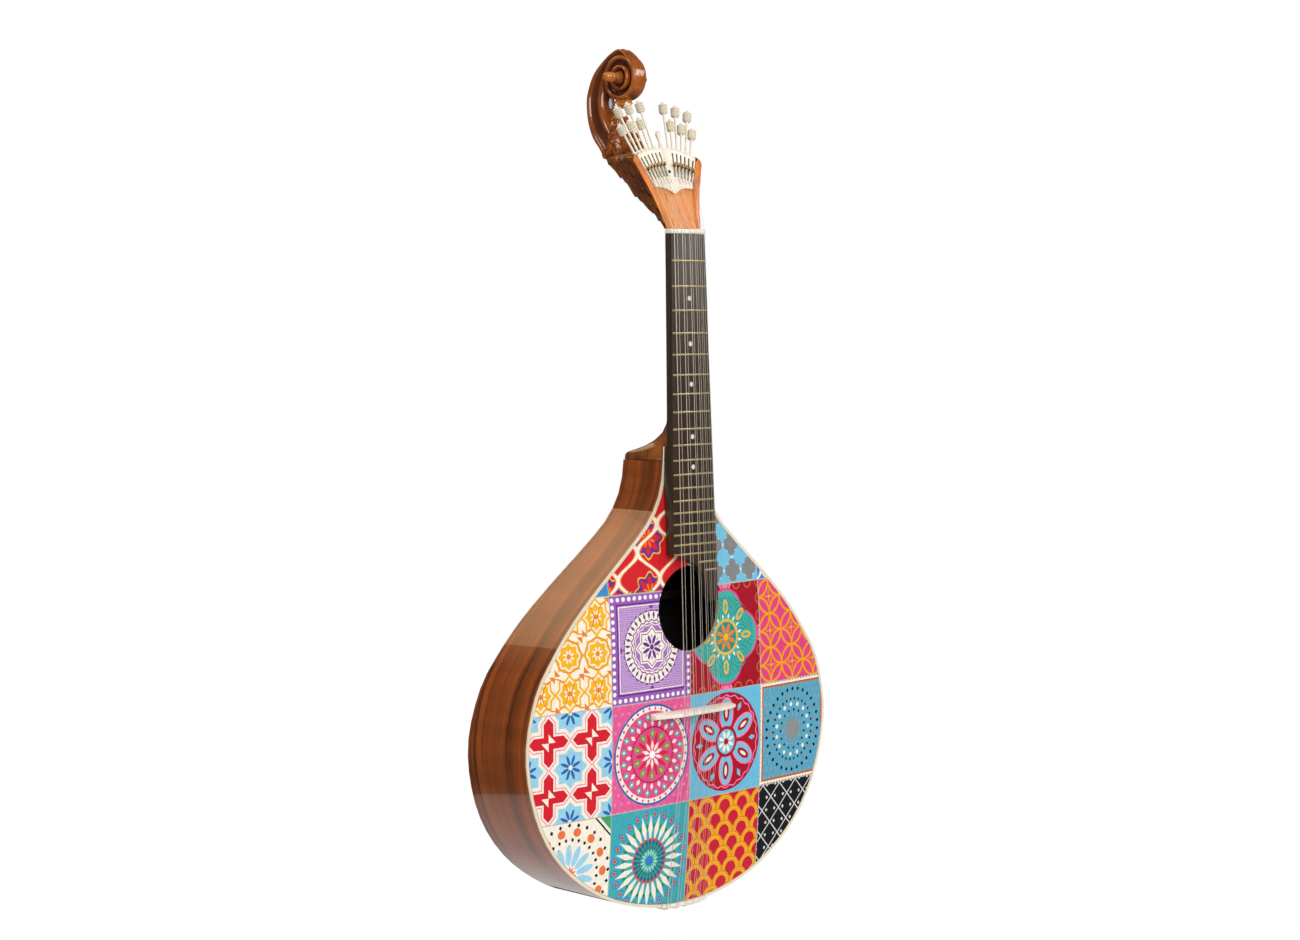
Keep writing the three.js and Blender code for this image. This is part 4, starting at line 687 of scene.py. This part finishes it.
def scrollStem(bm):
    def placeAt(across, along):
        here = stemPoint(along)
        way = (stemPoint(min(along + 0.01, 1)) - stemPoint(max(along - 0.01, 0))).normalized()
        if along < scroll["footShare"]:  # the foot goes a little into the head
            way = Vector((0, 0, 1))
            here.z -= scroll["sunk"]
        inward = Vector((0, -way.z, way.y))
        share = 1 - abs(2 * across - 1)
        depth = readTable(stemProfile, share, 1) * scroll["thickness"] * readTable(stemRows, along, 3)
        half = readTable(stemProfile, share, 2) * scroll["halfWidth"] * readTable(stemRows, along, 4)
        if share < scroll["ribShare"]:  # a rib between two hollows along the crown
            start, full = scroll["ribFrom"], scroll["ribFull"]
            fade = min(max((along - start) / (full - start), 0), 1)
            wave = cos(2 * pi * share / scroll["ribShare"])
            depth += scroll["hollow"] * fade * (1 - wave) / 2
        point = here + inward * depth
        return fromTail(half if across < 0.5 else -half, point.y, point.z)

    shares = {}
    for corner in sheet(bm, 76, 110):
        shares[corner] = 1 - abs(2 * corner.co.x - 1)
        corner.co = placeAt(corner.co.x, corner.co.y)
    # The flute along the stem takes the darker copy: painted shade
    for face in bm.faces:
        share = sum(shares[corner] for corner in face.verts) / len(face.verts)
        face.material_index = int(scroll["fluteShares"][0] < share < scroll["fluteShares"][1])
    bmesh.ops.remove_doubles(bm, verts=bm.verts, dist=0.01 * mm)
    closeHoles(bm)


def volute(bm):
    made = bmesh.new()
    spun(made, [(x, y) for x, y in reversed(voluteProfile)] + [(x, -y) for x, y in voluteProfile],
         scroll["steps"])
    place = fromTail(0, scroll["centre"], scroll["foot"] + scroll["eyeShare"] * scroll["rise"])
    for face in made.faces:
        middle = face.calc_center_median() / mm
        reach = hypot(middle.x, middle.z)
        for near, far, low, high, finish in volutePaintedShadeAndLight:
            if near < reach < far and low <= abs(middle.y) < high:
                face.material_index = finish
    made.transform(Matrix.Translation(place) @ Matrix.Rotation(pi / 2, 4, "Z"))
    joinInto(bm, made)


leaf = {
    "axis": 93, "foot": 1, "step": 10, "reach": 31, "rise": 14, "half": 13.5, "tiers": 4, "shrink": 0.17,
    "root": 6.5, "tip": 1.2, "lobes": 3.5, "lobeDepth": 0.28, "vein": 1.1, "droop": 0.3, "sideSize": 0.68,
    "sideHalf": 0.85, "sideTurn": 46, "under": (0, 0.57, -0.82)}
leafRows = [  # share of length; shares of reach, rise and half width
    (0, 0.1, -0.2, 0.7), (0.3, 0.5, 0.1, 1), (0.6, 0.84, 0.55, 0.95), (0.85, 1.02, 0.98, 0.6),
    (1, 1.12, 0.84, 0.08)]


# A leaf with lobed edges and a raised rib, that curls forward at its tip
def acanthusLeaf(bm, tier, turn):
    shrink = 1 - leaf["shrink"] * tier
    size = shrink * (leaf["sideSize"] if turn else 1)
    half = leaf["half"] * size * (leaf["sideHalf"] if turn else 1)

    def placeAt(across, along):
        side = 1 - abs(4 * across - 2)  # out over the top of the leaf and back underneath
        lobe = 1 - leaf["lobeDepth"] * (1 - abs(sin(leaf["lobes"] * pi * along)))
        width = half * readTable(leafRows, along, 3) * lobe
        vein = leaf["vein"] * cos(3 * pi * side) * (1 - side * side)
        lift = vein - leaf["droop"] * width * side * side
        thick = 0
        if across > 0.5:
            thick = (leaf["tip"] * along + leaf["root"] * (1 - along)) * shrink * (1 - side * side)
        out = -leaf["reach"] * size * readTable(leafRows, along, 1)
        rise = leaf["rise"] * shrink * readTable(leafRows, along, 2)
        tip = Vector((side * width, out, rise + lift)) + Vector(leaf["under"]) * thick
        tip.rotate(Matrix.Rotation(turn, 3, "Z"))
        foot = scroll["foot"] + leaf["foot"] + tier * leaf["step"]
        return fromTail(tip.x, leaf["axis"] + tip.y, foot + tip.z)

    corners = sheet(bm, 28, 26, placeAt)
    # The leaves take the paler amber copy: painted light
    for corner in corners:
        for face in corner.link_faces:
            face.material_index = 2
    bmesh.ops.remove_doubles(bm, verts=corners, dist=0.01 * mm)


# A round carved swelling with folds about one axis, leaning back, at its place from the tail
calyx = {
    "axis": "Z", "folds": 9, "foldDepth": 0.12, "half": (13, 11.7, 24), "taper": 5 / 13, "lean": -14,
    "place": (0, 84, 722), "steps": (40, 24), "finish": 0}
# The bud takes finish 2, the paler amber copy: painted light
bud = {
    "axis": "Y", "folds": 7, "foldDepth": 0.14, "half": (7, 9.5, 5.5), "taper": 0, "lean": 12,
    "place": (0, 80.5, 755), "steps": (32, 16), "finish": 2}


def carvedSwelling(bm, shape):
    around, along = shape["steps"]
    corners = bmesh.ops.create_uvsphere(bm, u_segments=around, v_segments=along, radius=mm)["verts"]
    for corner in corners:
        x, y, z = corner.co
        angle = atan2(y, x) if shape["axis"] == "Z" else atan2(z, x)
        fold = (1 + shape["foldDepth"] * cos(shape["folds"] * angle)) * (1 - shape["taper"] * z / mm)
        halfX, halfY, halfZ = shape["half"]
        if shape["axis"] == "Z":
            corner.co = Vector((x * halfX * fold, y * halfY * fold, z * halfZ))
        else:
            corner.co = Vector((x * halfX * fold, y * halfY, z * halfZ * fold))
        for face in corner.link_faces:
            face.material_index = shape["finish"]
    standAt(bm, corners, shape["lean"], fromTail(*shape["place"]))


bm = bmesh.new()
scrollStem(bm)
volute(bm)
for tier in range(leaf["tiers"]):
    for turn in (-leaf["sideTurn"], 0, leaf["sideTurn"]):
        acanthusLeaf(bm, tier, radians(turn))
carvedSwelling(bm, calyx)  # the leaves grow out of it
carvedSwelling(bm, bud)  # under the volute
closeHoles(bm)
bmesh.ops.recalc_face_normals(bm, faces=bm.faces)
addPiece("carvedScroll", bm,
         [woods["carvedStainedWood"], woods["paintedShadeRecess"], woods["amberPaintedLightCarving"]], "scroll_wood",
         ["scroll"], crease=50)
print("head and scroll made")

# Fingerboard: the board, 21 frets and five dots
board = {
    "nutLine": 629.5, "scale": 445, "frets": 21, "edge": 0.3, "frontAtNut": -4.8, "tilt": 1.94,
    "halfAtNut": 21.95, "halfAtEnd": 28.6, "fretWidth": 1.8, "fretRise": 1.1, "endInset": 0.4,
    "dots": (3, 5, 7, 10, 12), "dotRadius": 2.3, "dotDepth": 0.6, "dotSunk": 0.2, "fretSunk": 0.15,
    "crown": 0.4, "cut": (400, -0.03)}


def fretHeight(number):
    return board["nutLine"] - board["scale"] * (1 - 2 ** (-number / 12))


def onBoard(x, height, out=0):
    drop = (board["nutLine"] - height) * tan(radians(board["tilt"]))
    return fromTail(x, board["frontAtNut"] - drop - out, height)


def boardHalf(height):
    share = (board["nutLine"] - height) / (board["nutLine"] - fretHeight(board["frets"]))
    return board["halfAtNut"] + (board["halfAtEnd"] - board["halfAtNut"]) * share


bm = merged("fingerboard")
normal = Vector((0, -cos(radians(board["tilt"])), sin(radians(board["tilt"]))))
bmesh.ops.bisect_plane(bm, geom=bm.verts[:] + bm.edges[:] + bm.faces[:], plane_co=onBoard(0, *board["cut"]),
                       plane_no=normal, dist=1e-7, clear_outer=True)
closeHoles(bm)
softenEdges(bm, board["edge"])
addPiece("ebonyBoard", bm, [ebony], "ebony", ["fingerboard"])


def proud(corner):  # in front of the board
    return corner.co.y < onBoard(0, corner.co.z / mm + originHeight).y


# Where the bass ends of the last frets lie on the curved tongue
tongueEnds = {20: 3.5, 21: 12.0}
bm = bmesh.new()
for number in range(1, board["frets"] + 1):
    height = fretHeight(number)
    right = boardHalf(height) - board["endInset"]
    left = tongueEnds.get(number, -right)
    made = bmesh.ops.create_cube(bm, size=1)["verts"]
    bmesh.ops.scale(bm, vec=Vector((right - left, board["fretRise"], board["fretWidth"])) * mm, verts=made)
    standAt(bm, made, -board["tilt"],
            onBoard((left + right) / 2, height, board["fretRise"] / 2 - board["fretSunk"]))
bevelled(bm, [e for e in bm.edges if e.calc_face_angle() > 1 and all(map(proud, e.verts))], board["crown"])
addPiece("fretWires", bm, [fretMetal], "nickel")
bm = bmesh.new()
for number in board["dots"]:
    height = (fretHeight(number) + fretHeight(number - 1)) / 2
    turned = Matrix.Rotation(radians(90 - board["tilt"]), 4, "X")
    spot = Matrix.Translation(onBoard(0, height, -board["dotSunk"])) @ turned
    bmesh.ops.create_cone(bm, cap_ends=True, segments=24, radius1=board["dotRadius"] * mm,
                          radius2=board["dotRadius"] * mm, depth=board["dotDepth"] * mm, matrix=spot)
addPiece("fingerboardDots", bm, [dotPearl], "cream")
print("fingerboard made")

# The fan machine: twelve screws with ringed knobs, and twelve hooks that travel on them
machine = {
    "lean": 18.4, "frontAtBase": 0.4, "centre": -15, "rodDepth": 5, "screwRadius": 78,
    "firstAngle": 5.05, "step": 3.44, "firstLean": 8.3, "leanStep": 2.9, "long": 137.5, "short": 121.3,
    "rod": 0.9, "flange": 94.5, "foot": 63.5, "plateScrew": 56, "knobRadius": 4.2, "knobLength": 11.6,
    "grooves": 5, "thinner": 0.13, "hookEdge": 0.12}


# The machine's plane: it leans back with the head's front
def machineFrame():
    foot = Matrix.Translation(Vector((0, machine["frontAtBase"] - originDepth, 0)) * mm)
    return foot @ Matrix.Rotation(radians(90 - machine["lean"]), 4, "X")


def screwMatrix(number):
    side = -1 if number < 7 else 1
    rank = 6 - number if number < 7 else number - 7
    angle = radians(machine["firstAngle"] + machine["step"] * rank)
    lean = side * radians(machine["firstLean"] + machine["leanStep"] * rank)
    radius = machine["screwRadius"]
    place = Vector((side * sin(angle) * radius, machine["centre"] + cos(angle) * radius,
                    -machine["rodDepth"]))
    return machineFrame() @ Matrix.Translation(place * mm) @ Matrix.Rotation(-lean, 4, "Z"), rank


# A ring of the knob: shares of its radius and of its length
knobRing = [(0.76, 0), (0.97, 0.2), (1, 0.4), (0.97, 0.62), (0.76, 0.84)]


def tuningScrew(number):
    matrix, rank = screwMatrix(number)
    knob = (machine["short"] if rank % 2 else machine["long"]) - machine["screwRadius"]
    foot = machine["foot"] - machine["screwRadius"]
    flange = machine["flange"] - machine["screwRadius"]
    length, radius, rod = machine["knobLength"], machine["knobRadius"], machine["rod"]
    low = knob - length / 2
    profile = [(0, foot), (rod, foot + 0.3), (rod, flange + 0.4), (2.1, flange + 0.5), (2.3, flange + 1.2),
               (1.9, flange + 2.6), (rod * 1.25, flange + 3), (rod * 1.25, low - 0.6), (1.6, low - 0.3),
               (2.6, low), (3.4, low + 0.5)]
    first, ring = low + 0.9, (length - 3.2) / machine["grooves"]
    for groove in range(machine["grooves"]):
        start = first + ring * groove
        profile += [(radius * share, start + ring * part) for share, part in knobRing]
    top = low + length - 2.2
    profile += [(2.7, top), (2.2, top + 0.4), (1.5, top + 0.7), (1.6, top + 1.8), (1.1, top + 2.3),
                (0, top + 2.4)]
    bm = bmesh.new()
    spun(bm, profile, 20)
    for face in bm.faces:
        middle = face.calc_center_median() / mm
        # faces sunk in the knob's grooves take the darker brown
        sunk = hypot(middle.x, middle.z) < radius * 0.8
        face.material_index = int(sunk and first < middle.y < top - 0.3)
    bmesh.ops.transform(bm, matrix=matrix, verts=bm.verts)
    addPiece(f"ringedScrew{number}", bm, [turnedSilver, darkerKnobGroove], "nickel",
             [f"tuning_screw_{number}"], body=f"screw_{number}", crease=50)


# The string's end is laid double and twisted below its hook
def loopedEnd(bm):
    loop = {"from": 2.5, "step": 2.5, "turns": 6, "radius": 0.42, "wire": 0.2, "endReach": 1.5, "nutAt": -2.5,
            "nutReach": 3}
    top = round(max(v.co.z for v in bm.verts), 5) - loop["endReach"] * mm
    last = [v.co for v in bm.verts if v.co.z > top]
    end = sum(last, Vector()) / len(last)
    nut = [v.co for v in bm.verts if abs(v.co.z - loop["nutAt"] * mm) < loop["nutReach"] * mm]
    way = (sum(nut, Vector()) / len(nut) - end).normalized()
    made = bmesh.new()
    wire = bmesh.ops.create_circle(made, segments=6, radius=loop["wire"] * mm)["verts"]
    standAt(made, wire, 90, Vector((loop["radius"], 0, loop["from"])) * mm)
    steps = 10 * loop["turns"]
    bmesh.ops.spin(made, geom=made.verts[:] + made.edges[:], axis=(0, 0, 1), angle=2 * pi * loop["turns"],
                   steps=steps, dvec=Vector((0, 0, loop["step"] * mm * loop["turns"] / steps)))
    closeHoles(made)
    bmesh.ops.recalc_face_normals(made, faces=made.faces)
    made.transform(Matrix.Translation(end) @ way.to_track_quat("Z", "Y").to_matrix().to_4x4())
    joinInto(bm, made)


# The small screw that holds the fan plate
bm = bmesh.new()
spun(bm, [(0, 0.9), (0.9, 0.8), (1.5, 0.3), (1.6, -0.3), (0, -0.3)], 16)
place = Matrix.Translation(Vector((-1, machine["plateScrew"], -0.1)) * mm)
bm.transform(machineFrame() @ place @ Matrix.Rotation(pi / 2, 4, "X"))
addPiece("plateScrew", bm, [darkMetal], "nickel")

for number in range(1, 13):
    tuningScrew(number)
    slider = f"travelling_nut_{number}"
    bm = merged(f"hook_nut_{number}")
    softenEdges(bm, machine["hookEdge"], segments=1)
    addPiece(f"travellingHook{number}", bm, [wornBrass], "brass", [f"hook_nut_{number}"], body=slider)
    name = f"string_{number}"
    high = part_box(name)[1]
    bm = merged(name)
    bm.normal_update()
    for corner in bm.verts:  # a real string is a little thinner than its solid
        corner.co -= corner.normal * machine["thinner"] * mm
    loopedEnd(bm)
    string = addPiece(f"string{number}Wire", bm, [plainSteel], "steel", [name], body=None, crease=80)
    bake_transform(string)
print("machine made")

# Studio: a pale floor well below the tail, and large soft lamps
studio = {"floorZ": -0.95, "ambient": 0.52, "mirroredRoom": 0.04, "mirroredFloor": 0.6, "floorWidth": 1.4}


# Floor and room are plain white to the lens, and polished surfaces mirror a bright floor and a dim room
def mirroredOrPlain(holder, kind, lit, mirroredLight, output):
    holder.use_nodes = True
    tree = holder.node_tree
    tree.nodes.clear()
    path = addNode(tree, "LightPath").outputs
    seen = workOut(tree, ("max", path["Is Camera Ray"], path["Is Transmission Ray"]))
    mirrored, plain = (addNode(tree, kind, {0: (1, 1, 1, 1), 1: light}) for light in (mirroredLight, 1))
    unseen = addNode(tree, "MixShader", {0: path["Is Glossy Ray"], 1: addNode(tree, *lit), 2: mirrored})
    addNode(tree, output, {0: addNode(tree, "MixShader", {0: seen, 1: unseen, 2: plain})})


bpy.ops.mesh.primitive_plane_add(size=studio["floorWidth"], location=(0, 0, studio["floorZ"]))
studioFloor = bpy.context.object
studioFloor.name = "paleFloor"
material = bpy.data.materials.new("paleStudioFloor")
mirroredOrPlain(material, "Emission", ("BsdfDiffuse", {0: "F4F4F4"}), studio["mirroredFloor"],
                "OutputMaterial")
studioFloor.data.materials.append(material)
scene.world = bpy.data.worlds.new("studioWorld")
soft = ("Background", {0: (1, 1, 1, 1), 1: studio["ambient"]})
mirroredOrPlain(scene.world, "Background", soft, studio["mirroredRoom"], "OutputWorld")

lamps = {  # name: place, aim, width, height, watts, and a colour where it isn't white
    "keySoftbox": ((-1.0, -2.8, 1.2), (0, 0, -0.3), 1.4, 1.8, 48),
    "headSoftbox": ((2.1, -1.9, 1.2), (0, 0, -0.1), 1.4, 1.2, 26),
    "shoulderSoftbox": ((-0.2, 2.1, 1.4), (0, 0, -0.3), 1.5, 1.1, 9, (1, 0.66, 0.38)),
    "sideSoftbox": ((-1.5, 0.1, 2.5), (0, 0, -0.3), 0.8, 0.8, 14),
}
for name, (place, aim, width, height, watts, *colour) in lamps.items():
    lampData = bpy.data.lights.new(name, "AREA")
    lampData.color = colour[0] if colour else (1, 1, 1)
    lampData.shape = "RECTANGLE"
    lampData.size, lampData.size_y, lampData.energy = width, height, watts
    lamp = bpy.data.objects.new(name, lampData)
    lamp.location = place
    lamp.rotation_euler = (Vector(aim) - Vector(place)).to_track_quat("-Z", "Y").to_euler()
    scene.collection.objects.link(lamp)
print("studio lit")
